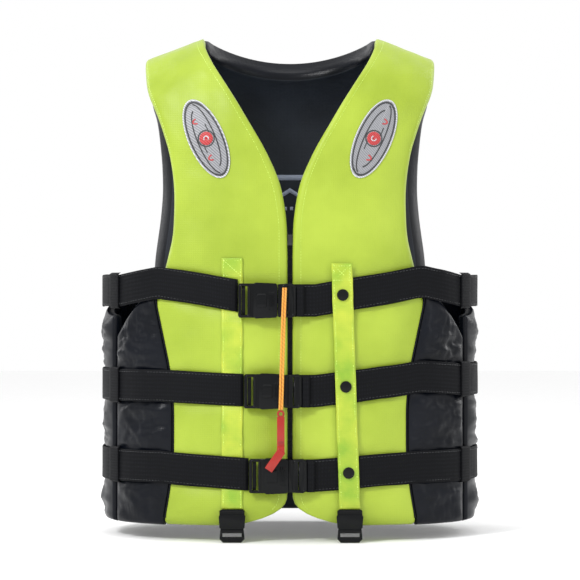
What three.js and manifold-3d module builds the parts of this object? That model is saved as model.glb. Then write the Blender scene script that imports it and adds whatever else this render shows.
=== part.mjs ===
// Buoyancy vest in its worn shape. Millimetres, +Z up, the front faces -Y.
// Left and right are as seen from the front: left is -X. z = 0 is the bottom hem.
import * as THREE from 'three';
import { mergeVertices } from 'three/addons/utils/BufferGeometryUtils.js';
import Module from 'manifold-3d';

const wasm = await Module();
wasm.setup();

// Overall sizes of the outer skin.
const HALF_WIDTH = 231;
const HALF_DEPTH = 140;
const SHOULDER_HEIGHT = 600;
const SHOULDER_DROP = 30;
const PLAN_SQUARENESS = 2.4;
const DOME_SQUARENESS = 2.6;
const CHEST_SHARE = 0.72;

// Padding.
const FRONT_PAD = 40;
const BACK_PAD = 36;
const SHOULDER_PAD = 24;
const SIDE_PAD = 12;
const CLOTH = 1.5;
const CLOTH_GAP = 0.3;
const LINING_GAP = 0.5;
const FOAM_GAP = 0.9;
const FOAM_TOP = 0.8;
const SEAM_GAP = 0.6;
const SIDE_SEAM_GAP = 1.8;
const BACK_SEAM_GAP = 1.2;
const SIDE_GAP = 4;
const ARM_EDGE_SLANT = 22;
const ZIP_EDGE_SLANT = 16;

// Webbing.
const BELT_WIDTH = 39;
const BELT_THICK = 2;
// Where a belt starts and ends its climb round the front, and where it settles again behind.
const BELT_CLIMB = { from: 30, to: 0.67, settleFrom: 0.7, settleRun: 0.2, kept: 12 };
const STRAP_WIDTH = 26;
const STRAP_THICK = 1.5;
const TAIL_LENGTH = 9;

// Snap fasteners.
const CAP_RADIUS = 7;
const CAP_THICK = 1.8;
const HUB_RADIUS = 4.2;
const POST_RADIUS = 2.1;
const STUD_RADIUS = 6;
const STUD_THICK = 0.8;
const SNAP_PLAY = 0.5;
const SNAP_RAISE = 1;

// Zip.
const ZIP_DEPTH = 14;
const ZIP_SHARE = { top: 0.585, bottom: 0.08 };
const TAPE_THICK = 1;
const SLIDER = { width: 7, height: 13, thick: 4 };

// Chest patches.
const PATCH = { long: 51.5, short: 22, tilt: 24, thick: 1.5, lift: 0.8, x: 0.437, z: 0.778 };

// Whistle and its doubled lanyard.
const WHISTLE = { eye: 4.6, hole: 2.2, eyeThick: 2.4, width: 9, length: 42, thick: 8, mouth: 26, crank: 35 };
const LANYARD = { width: 6, thick: 2.8 };

// Side-release buckles: lengths run along the webbing.
const WAIST_BUCKLE = {
  width: 43, thick: 12, frame: 19, body: 28, plug: 21.6, frameThick: 6, wall: 4.5, bar: 4, slots: 2,
  shoulder: 5, arm: 18, pad: 0.8,
};
const CROTCH_BUCKLE = {
  width: 32, thick: 9, frame: 6.5, body: 17, plug: 15.5, frameThick: 4.6, wall: 3.4, bar: 3.2, slots: 1,
  shoulder: 4.4, arm: 11, pad: 0.35,
};
const FIT = 0.4;
const SHELL_WALL = 2.5;
const ARM_THICK = 3.6;

// Edges as [share of the shoulder height, share of the half width].
const NECK_POINT = 0.455;
const V_EDGE = [
  [0.6, 0.009], [0.633, 0.017], [0.682, 0.039], [0.717, 0.074], [0.762, 0.126], [0.813, 0.203],
  [0.86, 0.273], [0.905, 0.346], [0.942, 0.407], [0.985, NECK_POINT], [1, NECK_POINT],
];
const ARM_EDGE = [
  [0, 0.667], [0.08, 0.632], [0.147, 0.615], [0.243, 0.615], [0.317, 0.636], [0.458, 0.714],
  [0.483, 0.706], [0.522, 0.675], [0.583, 0.636], [0.657, 0.628], [0.693, 0.632], [0.755, 0.654],
  [0.837, 0.71], [0.913, 0.775], [1, 0.797],
];
const BACK_EDGE = [
  [0, 0.745], [0.25, 0.753], [0.483, 0.788], [0.543, 0.779], [0.625, 0.749], [0.683, 0.736], [0.75, 0.74],
  [0.817, 0.753], [0.868, 0.766], [0.908, 0.792], [1, 0.797],
];
const HEM_CORNER = { height: 43, reach: 70, power: 3.2 };
const NECK_SAG = 0.62;
const NECK_TRIM = 3;
const NECK_HOLLOW_POWER = 0.35;
const YOKE = { from: 0.9, margin: 2 };
const SHOULDER_EDGE = 0.797;
const SIDE_SEAM = { front: 0.922, back: 0.94 };
const SIDE_TOP = { front: [0.47, 0.38], back: [0.423, 0.497] };

// Belts as shares: height at the buckle, then how far the left and right sides rise; buckle centres in mm.
const BELTS = [
  { level: 0.453, left: 22, right: 22, buckle: -27.5 },
  { level: 0.272, left: 5, right: 16, buckle: -20.5 },
  { level: 0.103, left: 9, right: 9, buckle: -14.5 },
];
const LEFT_STRAP = { x: -69.5, top: 0.538, bottom: 0.036 };
const SNAP_STRAP = { x: 62, lean: 10.5, top: 0.527, bottom: 0.036 };

const FABRIC = { lime: '#b8dc4a', dark: '#23262d', webbing: '#1b1c22', foam: '#e8e6dc' };
const PLASTIC = '#16171c';
const vest = new THREE.Group();

// ---- Solids ----

function finish(name, geometry, colour, roughness = 0.85, metalness = 0) {
  const material = new THREE.MeshStandardMaterial({ color: colour, roughness, metalness });
  const mesh = new THREE.Mesh(geometry, material);
  mesh.name = name;
  return mesh;
}

function weld(geometry) {
  geometry.deleteAttribute('normal');
  geometry.deleteAttribute('uv');
  return mergeVertices(geometry, 1e-4);
}

function solid(geometry) {
  const welded = weld(geometry);
  return new wasm.Manifold(new wasm.Mesh({
    numProp: 3,
    vertProperties: new Float32Array(welded.attributes.position.array),
    triVerts: new Uint32Array(welded.index.array),
  }));
}

function toGeometry(body) {
  const mesh = body.getMesh();
  const geometry = new THREE.BufferGeometry();
  geometry.setAttribute('position', new THREE.BufferAttribute(mesh.vertProperties, 3));
  geometry.setIndex(new THREE.BufferAttribute(mesh.triVerts, 1));
  return geometry;
}

// A closed body between two matching grids of points.
function slab(outer, inner, wrap = false) {
  const rows = outer.length;
  const columns = outer[0].length;
  const points = [...outer.flat(), ...inner.flat()];
  const index = [];
  const at = (layer, row, column) => layer * rows * columns + row * columns + (column % columns);
  const quad = (a, b, c, d) => index.push(a, b, c, a, c, d);
  const spans = wrap ? columns : columns - 1;
  for (let row = 0; row < rows - 1; row += 1) {
    for (let column = 0; column < spans; column += 1) {
      const corners = [[row, column], [row, column + 1], [row + 1, column + 1], [row + 1, column]];
      quad(...corners.map((corner) => at(0, ...corner)));
      quad(...corners.map((corner) => at(1, ...corner)).reverse());
    }
  }
  for (let column = 0; column < spans; column += 1) {
    quad(at(0, 0, column + 1), at(0, 0, column), at(1, 0, column), at(1, 0, column + 1));
    const last = rows - 1;
    quad(at(0, last, column), at(0, last, column + 1), at(1, last, column + 1), at(1, last, column));
  }
  for (let row = 0; row < rows - 1 && !wrap; row += 1) {
    const last = columns - 1;
    quad(at(0, row, 0), at(0, row + 1, 0), at(1, row + 1, 0), at(1, row, 0));
    quad(at(0, row + 1, last), at(0, row, last), at(1, row, last), at(1, row + 1, last));
  }
  return outward(points, index);
}

// Welds the points, drops collapsed triangles and turns the faces outwards.
function outward(points, index) {
  const raw = new THREE.BufferGeometry().setFromPoints(points);
  raw.setIndex(index);
  const welded = mergeVertices(raw, 1e-4);
  const kept = [];
  for (let i = 0; i < welded.index.count; i += 3) {
    const [a, b, c] = [0, 1, 2].map((k) => welded.index.getX(i + k));
    if (a !== b && b !== c && c !== a) kept.push(a, b, c);
  }
  const corner = (i) => new THREE.Vector3().fromBufferAttribute(welded.attributes.position, i);
  let volume = 0;
  for (let i = 0; i < kept.length; i += 3) {
    volume += corner(kept[i]).dot(corner(kept[i + 1]).cross(corner(kept[i + 2])));
  }
  welded.setIndex(volume < 0 ? kept.reverse() : kept);
  return welded;
}

// A flat outline in X and Z, thickened along Y about y = 0.
function plate(shape, thick) {
  const geometry = new THREE.ExtrudeGeometry(shape, { depth: thick, bevelEnabled: false, curveSegments: 6 });
  return geometry.translate(0, 0, -thick / 2).rotateX(Math.PI / 2);
}

function block(x0, x1, z0, z1, thick) {
  return new THREE.BoxGeometry(x1 - x0, thick, z1 - z0).translate((x0 + x1) / 2, 0, (z0 + z1) / 2);
}

function polygon(points) {
  return new THREE.Shape(points.map(([x, z]) => new THREE.Vector2(x, z)));
}

// ---- The skin of the worn vest ----

const clamp = THREE.MathUtils.clamp;
const lerp = THREE.MathUtils.lerp;
const CHEST_HEIGHT = CHEST_SHARE * SHOULDER_HEIGHT;
const WAIST_T = 0.6;

function along(knots, share) {
  const after = Math.max(1, knots.findIndex(([at]) => at >= share));
  const [[a, from], [b, to]] = [knots[after - 1], knots[after]];
  return lerp(from, to, clamp((share - a) / (b - a), 0, 1)) * HALF_WIDTH;
}

function reach(x) {
  const share = clamp(Math.abs(x) / HALF_WIDTH, 0, 1);
  return HALF_DEPTH * (1 - share ** PLAN_SQUARENESS) ** (1 / PLAN_SQUARENESS);
}

function ridge(x) {
  const neck = NECK_POINT * HALF_WIDTH;
  const run = SHOULDER_EDGE * HALF_WIDTH - neck;
  return SHOULDER_HEIGHT - SHOULDER_DROP * Math.max(0, (Math.abs(x) - neck) / run);
}

// t runs from the hem (0) over the chest to the shoulder ridge (1).
const domeShare = (t) => clamp((t - WAIST_T) / (1 - WAIST_T), 0, 1);
const rise = (t) => Math.sin(domeShare(t) * Math.PI / 2) ** (2 / DOME_SQUARENESS);
const fall = (t) => Math.max(0, Math.cos(domeShare(t) * Math.PI / 2)) ** (2 / DOME_SQUARENESS);
const level = (t) => Math.min(t / WAIST_T, 1) * CHEST_HEIGHT + rise(t) * (SHOULDER_HEIGHT - CHEST_HEIGHT);

// A point at a sideways place, a height t, a depth under the skin, and kept clear of the hem and ridge.
function skin(side, x, t, depth, inset = 0) {
  const low = Math.max(level(Math.min(t, WAIST_T)), inset);
  const z = low + rise(t) * (ridge(x) - depth - CHEST_HEIGHT);
  const y = Math.max((reach(x) - depth) * fall(t), SEAM_GAP / 2 + inset);
  return new THREE.Vector3(x, side * y, z);
}

// The skin's distance from the widest line at any height.
function front(x, z) {
  const up = clamp((z - CHEST_HEIGHT) / (ridge(x) - CHEST_HEIGHT), 0, 1);
  return reach(x) * (1 - up ** DOME_SQUARENESS) ** (1 / DOME_SQUARENESS);
}

const HEM_ROWS = [0, 0.012, 0.028, 0.05, 0.085, 0.15, 0.25, 0.36, 0.48, 0.6];
const DOME_ROWS = 7;
const domeRow = (_, i) => lerp(WAIST_T, 1, (i + 1) / DOME_ROWS);
const ROWS = [...HEM_ROWS, ...Array.from({ length: DOME_ROWS }, domeRow)];

function innerEdge(t) {
  const z = level(t);
  const low = clamp((HEM_CORNER.height - z) / HEM_CORNER.height, 0, 1);
  const corner = low ** HEM_CORNER.power * HEM_CORNER.reach;
  return along(V_EDGE, z / SHOULDER_HEIGHT) + corner;
}

const padding = (pad, t) => lerp(pad, SHOULDER_PAD, domeShare(t));

// How much wider a sideways inset is than the same inset square to a sloping edge.
function lean(edge, t) {
  const step = 0.004;
  const [a, b] = [Math.max(0, t - step), Math.min(1, t + step)];
  return Math.hypot(1, (edge(b) - edge(a)) / (level(b) - level(a)));
}

function frontPlace(hand) {
  return (s, t, depth, inset) => {
    const share = depth / FRONT_PAD;
    const from = innerEdge(t) + ZIP_EDGE_SLANT * share + inset * Math.min(6, lean(innerEdge, t));
    const to = along(ARM_EDGE, level(t) / SHOULDER_HEIGHT) - ARM_EDGE_SLANT * share - inset;
    return skin(-1, hand * lerp(from, to, s), t, depth, inset);
  };
}

// The back rises to the ridge at its sides and to the sagging neckline between them.
function backPlace(s, t, depth, inset) {
  const neck = NECK_POINT * HALF_WIDTH;
  const slant = ARM_EDGE_SLANT * depth / BACK_PAD;
  const edge = (rowT) => along(BACK_EDGE, level(rowT) / SHOULDER_HEIGHT) - slant - inset;
  const middle = clamp(1 - Math.abs(2 * s - 1) * SHOULDER_EDGE * HALF_WIDTH / neck, 0, 1);
  const hollow = middle ** NECK_HOLLOW_POWER;
  const trim = t < 1 ? 0 : (NECK_TRIM * inset / SHOULDER_HEIGHT) * Math.min(1, 5 * hollow);
  const top = lerp(1, WAIST_T + (1 - WAIST_T) * NECK_SAG, hollow);
  const rowT = t <= WAIST_T ? t : WAIST_T + (t - WAIST_T) * (top - WAIST_T) / (1 - WAIST_T) - trim;
  return skin(1, (2 * s - 1) * edge(rowT), rowT, depth, inset);
}

// ---- Padded panels: a cover turned over the foam, the foam, and a lining ----

const grid = (rows, columns, place) => rows.map((row) => columns.map((column) => place(row, column)));
const steps = (count) => Array.from({ length: count + 1 }, (_, i) => i / count);

function panel(name, place, pad, columns, colour) {
  const across = steps(columns);
  const rim = (t) => padding(pad, t);
  const turned = [-1, ...across, 2];
  const turnedRows = [-1, ...ROWS, 2];
  const fold = (inset, depth) => grid(turnedRows, turned, (t, s) => {
    const edge = t < 0 || t > 1 || s < 0 || s > 1;
    const row = clamp(t, 0, 1);
    return place(clamp(s, 0, 1), row, edge ? rim(row) : depth, inset);
  });
  const sheet = (inset, depth, rows = ROWS) => grid(rows, across, (t, s) => place(s, t, depth(t), inset));
  const foamRows = ROWS.filter((t) => t <= FOAM_TOP);
  const core = CLOTH + FOAM_GAP;
  vest.add(finish(name('cover'), slab(fold(0, 0), fold(CLOTH, CLOTH)), colour));
  vest.add(finish(
    name('foam'),
    slab(
      sheet(core + FOAM_GAP, () => core + FOAM_GAP, foamRows),
      sheet(core + FOAM_GAP, (t) => rim(t) - FOAM_GAP, foamRows),
    ),
    FABRIC.foam,
  ));
  vest.add(finish(
    name('lining'),
    slab(sheet(0, (t) => rim(t) + LINING_GAP), sheet(0, (t) => rim(t) + LINING_GAP + CLOTH)),
    FABRIC.dark,
  ));
}

panel((part) => `front_${part}_left`, frontPlace(-1), FRONT_PAD, 6, FABRIC.lime);
panel((part) => `front_${part}_right`, frontPlace(1), FRONT_PAD, 6, FABRIC.lime);
panel((part) => `back_${part}`, backPlace, BACK_PAD, 13, FABRIC.dark);

// Lime yokes lie over the top of the back, just behind the ridge.
function yoke(hand) {
  const rows = steps(4).map((share) => lerp(YOKE.from, 1, share));
  const columns = steps(3);
  const layer = (lift) => grid(rows, columns, (t, s) => {
    const from = NECK_POINT * HALF_WIDTH + YOKE.margin;
    const x = hand * lerp(from, SHOULDER_EDGE * HALF_WIDTH - YOKE.margin, s);
    return skin(1, x, t, -lift);
  });
  return slab(layer(CLOTH_GAP + CLOTH), layer(CLOTH_GAP));
}
vest.add(finish('shoulder_yoke_left', yoke(-1), FABRIC.lime));
vest.add(finish('shoulder_yoke_right', yoke(1), FABRIC.lime));

// ---- Side panels ----

// A point on the plan at an angle from the front centre, moved outwards along the normal.
function flank(angle, lift, z) {
  const power = 2 / PLAN_SQUARENESS;
  const swing = (value) => Math.sign(value) * Math.abs(value) ** power;
  const x = HALF_WIDTH * swing(Math.sin(angle));
  const y = -HALF_DEPTH * swing(Math.cos(angle));
  const slope = PLAN_SQUARENESS - 1;
  const normal = new THREE.Vector3(
    Math.sign(x) * (Math.abs(x) / HALF_WIDTH) ** slope / HALF_WIDTH,
    Math.sign(y) * (Math.abs(y) / HALF_DEPTH) ** slope / HALF_DEPTH,
    0,
  ).normalize();
  return new THREE.Vector3(x, y, z).addScaledVector(normal, lift);
}

const angleOf = (x) => {
  const share = clamp(x / HALF_WIDTH, -1, 1);
  return Math.asin(Math.sign(share) * Math.abs(share) ** (PLAN_SQUARENESS / 2));
};

function sidePanel(hand, from, to, top) {
  const columns = steps(7);
  const rows = steps(6);
  const layer = (depth) => grid(rows, columns, (t, s) => {
    const z = t * lerp(top[0], top[1], s ** 1.5) * SHOULDER_HEIGHT;
    return flank(hand * lerp(from(z), to(z), s), -depth, z);
  });
  return slab(layer(0), layer(SIDE_PAD));
}

const frontSeam = (z) => angleOf(along(ARM_EDGE, z / SHOULDER_HEIGHT) + SIDE_SEAM_GAP);
const sideFrontEnd = angleOf(SIDE_SEAM.front * HALF_WIDTH);
const sideBackStart = angleOf(SIDE_SEAM.front * HALF_WIDTH + SIDE_GAP);
const backSeam = (z) => Math.PI - angleOf(along(BACK_EDGE, z / SHOULDER_HEIGHT) + BACK_SEAM_GAP);
for (const [hand, side] of [[-1, 'left'], [1, 'right']]) {
  const fore = sidePanel(hand, frontSeam, () => sideFrontEnd, SIDE_TOP.front);
  const aft = sidePanel(hand, () => sideBackStart, backSeam, SIDE_TOP.back);
  vest.add(finish(`side_panel_front_${side}`, fore, FABRIC.dark));
  vest.add(finish(`side_panel_back_${side}`, aft, FABRIC.dark));
}

// ---- Zip in the gap between the halves ----

const ZIP_TOP = ZIP_SHARE.top * SHOULDER_HEIGHT;
const ZIP_BOTTOM = ZIP_SHARE.bottom * SHOULDER_HEIGHT;
const zipY = -(HALF_DEPTH - ZIP_DEPTH);
const zipGap = V_EDGE[0][1] * HALF_WIDTH + ZIP_EDGE_SLANT * (ZIP_DEPTH - TAPE_THICK) / FRONT_PAD;
for (const [hand, side] of [[-1, 'left'], [1, 'right']]) {
  const tape = new THREE.BoxGeometry(zipGap - 2 * CLOTH_GAP, TAPE_THICK, ZIP_TOP - ZIP_BOTTOM);
  tape.translate(hand * zipGap / 2, zipY, (ZIP_TOP + ZIP_BOTTOM) / 2);
  vest.add(finish(`zip_tape_${side}`, tape, FABRIC.webbing));
}
const slider = new THREE.BoxGeometry(SLIDER.width, SLIDER.thick, SLIDER.height);
slider.translate(0, zipY - TAPE_THICK / 2 - CLOTH_GAP - SLIDER.thick / 2, ZIP_TOP - SLIDER.height / 2);
vest.add(finish('zip_slider', slider, '#8c8f94', 0.4, 0.8));

// ---- Straps, belts and their heights over the skin ----

const STRAP_LIFT = CLOTH_GAP;
const BELT_LIFT = STRAP_LIFT + STRAP_THICK + CLOTH_GAP;
const BELT_TOP = BELT_LIFT + BELT_THICK;
const STUD_LIFT = BELT_TOP + CLOTH_GAP;
const SNAP_LIFT = STUD_LIFT + STUD_THICK + SNAP_PLAY;
const CAP_LIFT = SNAP_LIFT + STRAP_THICK + CLOTH_GAP;
const BUCKLE_LIFT = BELT_TOP + SNAP_PLAY + WAIST_BUCKLE.frameThick / 2;

function beltHeight(belt, x) {
  const { from, to, settleFrom, settleRun, kept } = BELT_CLIMB;
  const out = clamp((Math.abs(x) - from) / (to * HALF_WIDTH - from), 0, 1);
  const back = clamp((Math.abs(x) - settleFrom * HALF_WIDTH) / (settleRun * HALF_WIDTH), 0, 1);
  const side = x < 0 ? belt.left : belt.right;
  const settle = Math.max(0, side - kept) * back;
  return belt.level * SHOULDER_HEIGHT + side * out - settle;
}

const buckleLength = (size) => size.frame + size.body + FIT + size.plug;

// One webbing from the socket round the left side, back and right side to under the plug.
function beltBody(belt) {
  const half = buckleLength(WAIST_BUCKLE) / 2;
  const start = angleOf(belt.buckle + half - WAIST_BUCKLE.bar);
  const end = 2 * Math.PI + angleOf(belt.buckle - half - CLOTH_GAP);
  const angles = steps(46).map((share) => lerp(start, end, share));
  const height = (angle) => {
    const x = flank(angle, 0, 0).x;
    const ends = [-HALF_WIDTH, HALF_WIDTH].map((side) => beltHeight(belt, side));
    const rear = lerp(...ends, (x / HALF_WIDTH + 1) / 2);
    return Math.cos(angle) > 0 ? beltHeight(belt, x) : rear;
  };
  const layer = (lift) => grid([-0.5, 0.5], angles, (share, angle) => (
    flank(angle, lift, height(angle) + share * BELT_WIDTH)
  ));
  return slab(layer(BELT_TOP), layer(BELT_LIFT));
}

function strapBody(centre, width, top, bottom, lift) {
  const layer = (raised) => grid(steps(8), [-0.5, 0, 0.5], (t, share) => {
    const z = lerp(bottom, top, t);
    const x = centre(z) + share * width;
    return new THREE.Vector3(x, -reach(x) - raised, z);
  });
  return slab(layer(lift + STRAP_THICK), layer(lift));
}

const snapX = (z) => SNAP_STRAP.x + SNAP_STRAP.lean * (1 - z / SHOULDER_HEIGHT / SNAP_STRAP.top);
const strapEnds = (strap) => [strap.top * SHOULDER_HEIGHT, strap.bottom * SHOULDER_HEIGHT];
const [leftTop, leftBottom] = strapEnds(LEFT_STRAP);
const [snapTop, snapBottom] = strapEnds(SNAP_STRAP);
const leftStrap = strapBody(() => LEFT_STRAP.x, STRAP_WIDTH, leftTop, leftBottom, STRAP_LIFT);
vest.add(finish('left_strap', leftStrap, FABRIC.lime));

function round(radius, thick) {
  return new THREE.CylinderGeometry(radius, radius, thick, 20);
}

// Lies flat on the skin at x: its +Y end points into the vest.
function seat(geometry, x, z, lift) {
  const face = Math.atan2(reach(x - 1) - reach(x + 1), 2);
  return geometry.rotateZ(face).translate(x, -reach(x) - lift, z);
}

let snapStrap = solid(strapBody(snapX, STRAP_WIDTH - 1, snapTop, snapBottom, SNAP_LIFT));
BELTS.forEach((belt, i) => {
  const z = beltHeight(belt, SNAP_STRAP.x) + SNAP_RAISE;
  const x = snapX(z);
  const hole = solid(seat(round(HUB_RADIUS + SNAP_PLAY, 4 * STRAP_THICK), x, z, SNAP_LIFT));
  snapStrap = snapStrap.subtract(hole);
  const postTop = CAP_LIFT - CLOTH_GAP;
  const base = solid(seat(round(STUD_RADIUS, STUD_THICK), x, z, STUD_LIFT + STUD_THICK / 2));
  const post = solid(seat(round(POST_RADIUS, postTop - STUD_LIFT), x, z, (postTop + STUD_LIFT) / 2));
  vest.add(finish(`snap_stud_${i + 1}`, toGeometry(base.add(post)), PLASTIC, 0.4));
  const hubBottom = SNAP_LIFT + CLOTH_GAP;
  const hubLength = CAP_LIFT - hubBottom + CAP_THICK / 2;
  const disc = solid(seat(round(CAP_RADIUS, CAP_THICK), x, z, CAP_LIFT + CAP_THICK / 2));
  const hub = solid(seat(round(HUB_RADIUS, hubLength), x, z, hubBottom + hubLength / 2));
  const bore = solid(seat(round(POST_RADIUS + SNAP_PLAY, hubLength), x, z, CAP_LIFT - hubLength / 2));
  vest.add(finish(`snap_cap_${i + 1}`, toGeometry(disc.add(hub).subtract(bore)), PLASTIC, 0.35));
});
vest.add(finish('snap_strap', toGeometry(snapStrap), FABRIC.lime));

// ---- Side-release buckles ----

function socketBody(size) {
  const { width, frame, body, thick, bar } = size;
  const half = width / 2;
  const mouth = frame + body;
  const outline = polygon([
    [frame - 1, half - 1.5], [frame + 2, half], [mouth - 2, half - 1], [mouth, half - 3],
    [mouth, 3 - half], [mouth - 2, 1 - half], [frame + 2, -half], [frame - 1, 1.5 - half],
  ]);
  const slotLength = frame - 2 * bar - (frame > 12 ? bar : 0);
  const slot = block(bar, bar + slotLength, 4 - half, half - 4, 2 * thick);
  const cavityHalf = half - size.wall;
  const hollow = thick - 2 * SHELL_WALL;
  const cavity = block(frame + 2, mouth + 1, -cavityHalf, cavityHalf, hollow);
  const tip = mouth - size.arm - 2;
  const ends = polygon([
    [1.5, half - 1], [frame, half - 1], [frame, 1 - half], [1.5, 1 - half], [0, 3 - half], [0, half - 3],
  ]);
  let result = solid(plate(outline, thick)).add(solid(plate(ends, size.frameThick)));
  result = result.subtract(solid(slot)).subtract(solid(cavity));
  for (const hand of [-1, 1]) {
    const [low, high] = [hand * (cavityHalf - 1), hand * (half + 1)].sort((a, b) => a - b);
    const window = block(tip - 1.5, tip + size.arm * 0.6, low, high, hollow);
    result = result.subtract(solid(window));
  }
  return toGeometry(result);
}

function plugBody(size) {
  const { width, frame, body, plug, frameThick, bar, slots, shoulder, thick } = size;
  const half = width / 2;
  const from = frame + body + FIT;
  const to = from + plug;
  const outline = polygon([
    [from, half - 2], [to - 4, half - 1], [to, half - 5],
    [to, 5 - half], [to - 4, 1 - half], [from, 2 - half],
  ]);
  const pitch = (plug - shoulder - bar) / slots;
  let result = solid(plate(outline, frameThick));
  for (let i = 0; i < slots; i += 1) {
    const x = from + shoulder + i * pitch;
    result = result.subtract(solid(block(x, x + pitch - bar, 4.5 - half, half - 4.5, 2 * thick)));
  }
  const tongue = block(frame + 4, from + 2, -3, 3, Math.min(frameThick, thick - 2 * SHELL_WALL) - 2 * FIT);
  return toGeometry(result.add(solid(tongue)));
}

// Arms lie in the socket's cavity; a low pad on each stands into the side window.
function armBody(size, hand) {
  const cavityHalf = size.width / 2 - size.wall;
  const hinge = size.frame + size.body - 2;
  const outer = cavityHalf - FIT;
  const inner = outer - ARM_THICK;
  const tip = hinge - size.arm;
  const pad = cavityHalf + size.pad;
  const middle = (outer + inner) / 2;
  const bend = (ARM_THICK / 2) * Math.SQRT1_2;
  const outline = [
    [tip, inner + 1], [tip, outer - 0.5], [tip + 0.5, pad], [tip + 3, pad], [tip + size.arm * 0.56, outer],
    [hinge, outer], [hinge + bend, middle + bend], [hinge + ARM_THICK / 2, middle],
    [hinge + bend, middle - bend], [hinge, inner], [tip + 2, inner],
  ].map(([x, z]) => [x, hand * z]);
  return plate(polygon(hand > 0 ? outline.reverse() : outline), size.thick - 2 * SHELL_WALL - 2 * FIT);
}

function buckle(size, names) {
  const group = new THREE.Group();
  group.add(finish(names.socket, socketBody(size), PLASTIC, 0.5));
  group.add(finish(names.plug, plugBody(size), PLASTIC, 0.5));
  group.add(finish(names.arms[0], armBody(size, -1), PLASTIC, 0.5));
  group.add(finish(names.arms[1], armBody(size, 1), PLASTIC, 0.5));
  vest.add(group);
  return group;
}

BELTS.forEach((belt, i) => {
  const number = i + 1;
  const half = buckleLength(WAIST_BUCKLE) / 2;
  const z = belt.level * SHOULDER_HEIGHT;
  vest.add(finish(`waist_belt_${number}`, beltBody(belt), FABRIC.webbing));
  const group = buckle(WAIST_BUCKLE, {
    socket: `buckle_socket_${number}`,
    plug: `buckle_plug_${number}`,
    arms: [`buckle_arm_lower_${number}`, `buckle_arm_upper_${number}`],
  });
  group.position.set(belt.buckle - half, -HALF_DEPTH - BUCKLE_LIFT, z);
  const tailFrom = belt.buckle + half + CLOTH_GAP;
  const tail = block(tailFrom, tailFrom + TAIL_LENGTH, z - BELT_WIDTH / 2, z + BELT_WIDTH / 2, BELT_THICK);
  tail.translate(0, -HALF_DEPTH - BUCKLE_LIFT, 0);
  vest.add(finish(`belt_tail_${number}`, tail, FABRIC.webbing));
});

for (const [side, x, bottom, lift] of [
  ['left', LEFT_STRAP.x, leftBottom, STRAP_LIFT], ['right', snapX(snapBottom), snapBottom, SNAP_LIFT],
]) {
  const group = buckle(CROTCH_BUCKLE, {
    socket: `crotch_socket_${side}`,
    plug: `crotch_plug_${side}`,
    arms: [`crotch_arm_1_${side}`, `crotch_arm_2_${side}`],
  });
  const clear = Math.max(lift + STRAP_THICK / 2, CLOTH_GAP + CROTCH_BUCKLE.thick / 2);
  group.rotation.y = Math.PI / 2;
  group.position.set(x, -reach(Math.abs(x) - CROTCH_BUCKLE.width / 2) - clear, bottom - CLOTH_GAP);
}

// ---- Chest patches ----

function patch(hand, x, z) {
  const tilt = THREE.MathUtils.degToRad(90 - PATCH.tilt) * hand;
  const turns = steps(24).slice(0, -1);
  const layer = (lift) => grid([0, 0.36, 0.7, 1], turns, (ring, turn) => {
    const lengthwise = Math.cos(turn * 2 * Math.PI) * PATCH.long * ring;
    const across = Math.sin(turn * 2 * Math.PI) * PATCH.short * ring;
    const px = x + lengthwise * Math.cos(tilt) - across * Math.sin(tilt);
    const pz = z + lengthwise * Math.sin(tilt) + across * Math.cos(tilt);
    return new THREE.Vector3(px, -front(px, pz) - lift, pz);
  });
  return slab(layer(PATCH.lift + PATCH.thick), layer(PATCH.lift), true);
}
for (const [hand, side] of [[-1, 'left'], [1, 'right']]) {
  const body = patch(hand, hand * PATCH.x * HALF_WIDTH, PATCH.z * SHOULDER_HEIGHT);
  vest.add(finish(`chest_patch_${side}`, body, '#a5a5a8', 0.6));
}

// ---- Whistle and lanyard ----

// The doubled cord leaves the top plug's first slot and hangs in front of the buckles.
// Its points are measured from the centre of the top buckle.
const topBuckle = new THREE.Vector3(
  BELTS[0].buckle, -HALF_DEPTH - BUCKLE_LIFT, BELTS[0].level * SHOULDER_HEIGHT,
);
const LANYARD_ROUTE = [
  [21, -5, 15.2], [20.9, -5.8, 11.7], [20.8, -7.4, 8.2], [20.6, -9.2, 3.2], [20.4, -10.3, -2.8],
  [20.1, -10.7, -10.8], [19.8, -10.8, -19.8], [19.5, -10.8, -29.8], [19.1, -10.8, -41.8],
  [18.8, -10.8, -53.8], [18.4, -10.8, -65.8], [18.1, -10.8, -77.8], [17.7, -10.8, -89.8],
  [17.4, -10.8, -101.8], [17.1, -10.8, -113.8], [16.8, -10.8, -122.8], [16.5, -10.8, -130.3],
].map(([x, y, z]) => new THREE.Vector3(x, y, z).add(topBuckle));

function lanyard() {
  const section = new THREE.Shape();
  section.absellipse(0, 0, LANYARD.width / 2, LANYARD.thick / 2, 0, 2 * Math.PI);
  const route = new THREE.CatmullRomCurve3(LANYARD_ROUTE);
  return new THREE.ExtrudeGeometry(section, {
    steps: 30, curveSegments: 4, bevelEnabled: false, extrudePath: route,
  });
}
vest.add(finish('whistle_lanyard', weld(lanyard()), '#f2b84e', 0.8));

function whistle() {
  const { eye, hole, eyeThick, width, length, thick, mouth, crank } = WHISTLE;
  const ring = solid(round(eye, eyeThick)).subtract(solid(round(hole, thick)));
  const tube = solid(block(-width / 2, width / 2, -eye - length, 1 - eye, thick));
  const turn = THREE.MathUtils.degToRad(crank);
  const tip = block(-width / 2 - 0.5, width / 2 + 0.5, -mouth, 2, thick + 1);
  tip.rotateY(turn).translate(0, 0, -eye - length + 1);
  const notch = block(-width, width, -eye - 0.8 * length, -eye - 0.66 * length, thick);
  notch.translate(0, -0.6 * thick, 0);
  const body = ring.add(tube).add(solid(tip)).subtract(solid(notch));
  return toGeometry(body);
}
const whistleMesh = finish('whistle', whistle(), '#d8452c', 0.3);
const eyeCentre = LANYARD_ROUTE.at(-1);
whistleMesh.position.set(eyeCentre.x, eyeCentre.y, eyeCentre.z - CLOTH_GAP - WHISTLE.eye);
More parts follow.
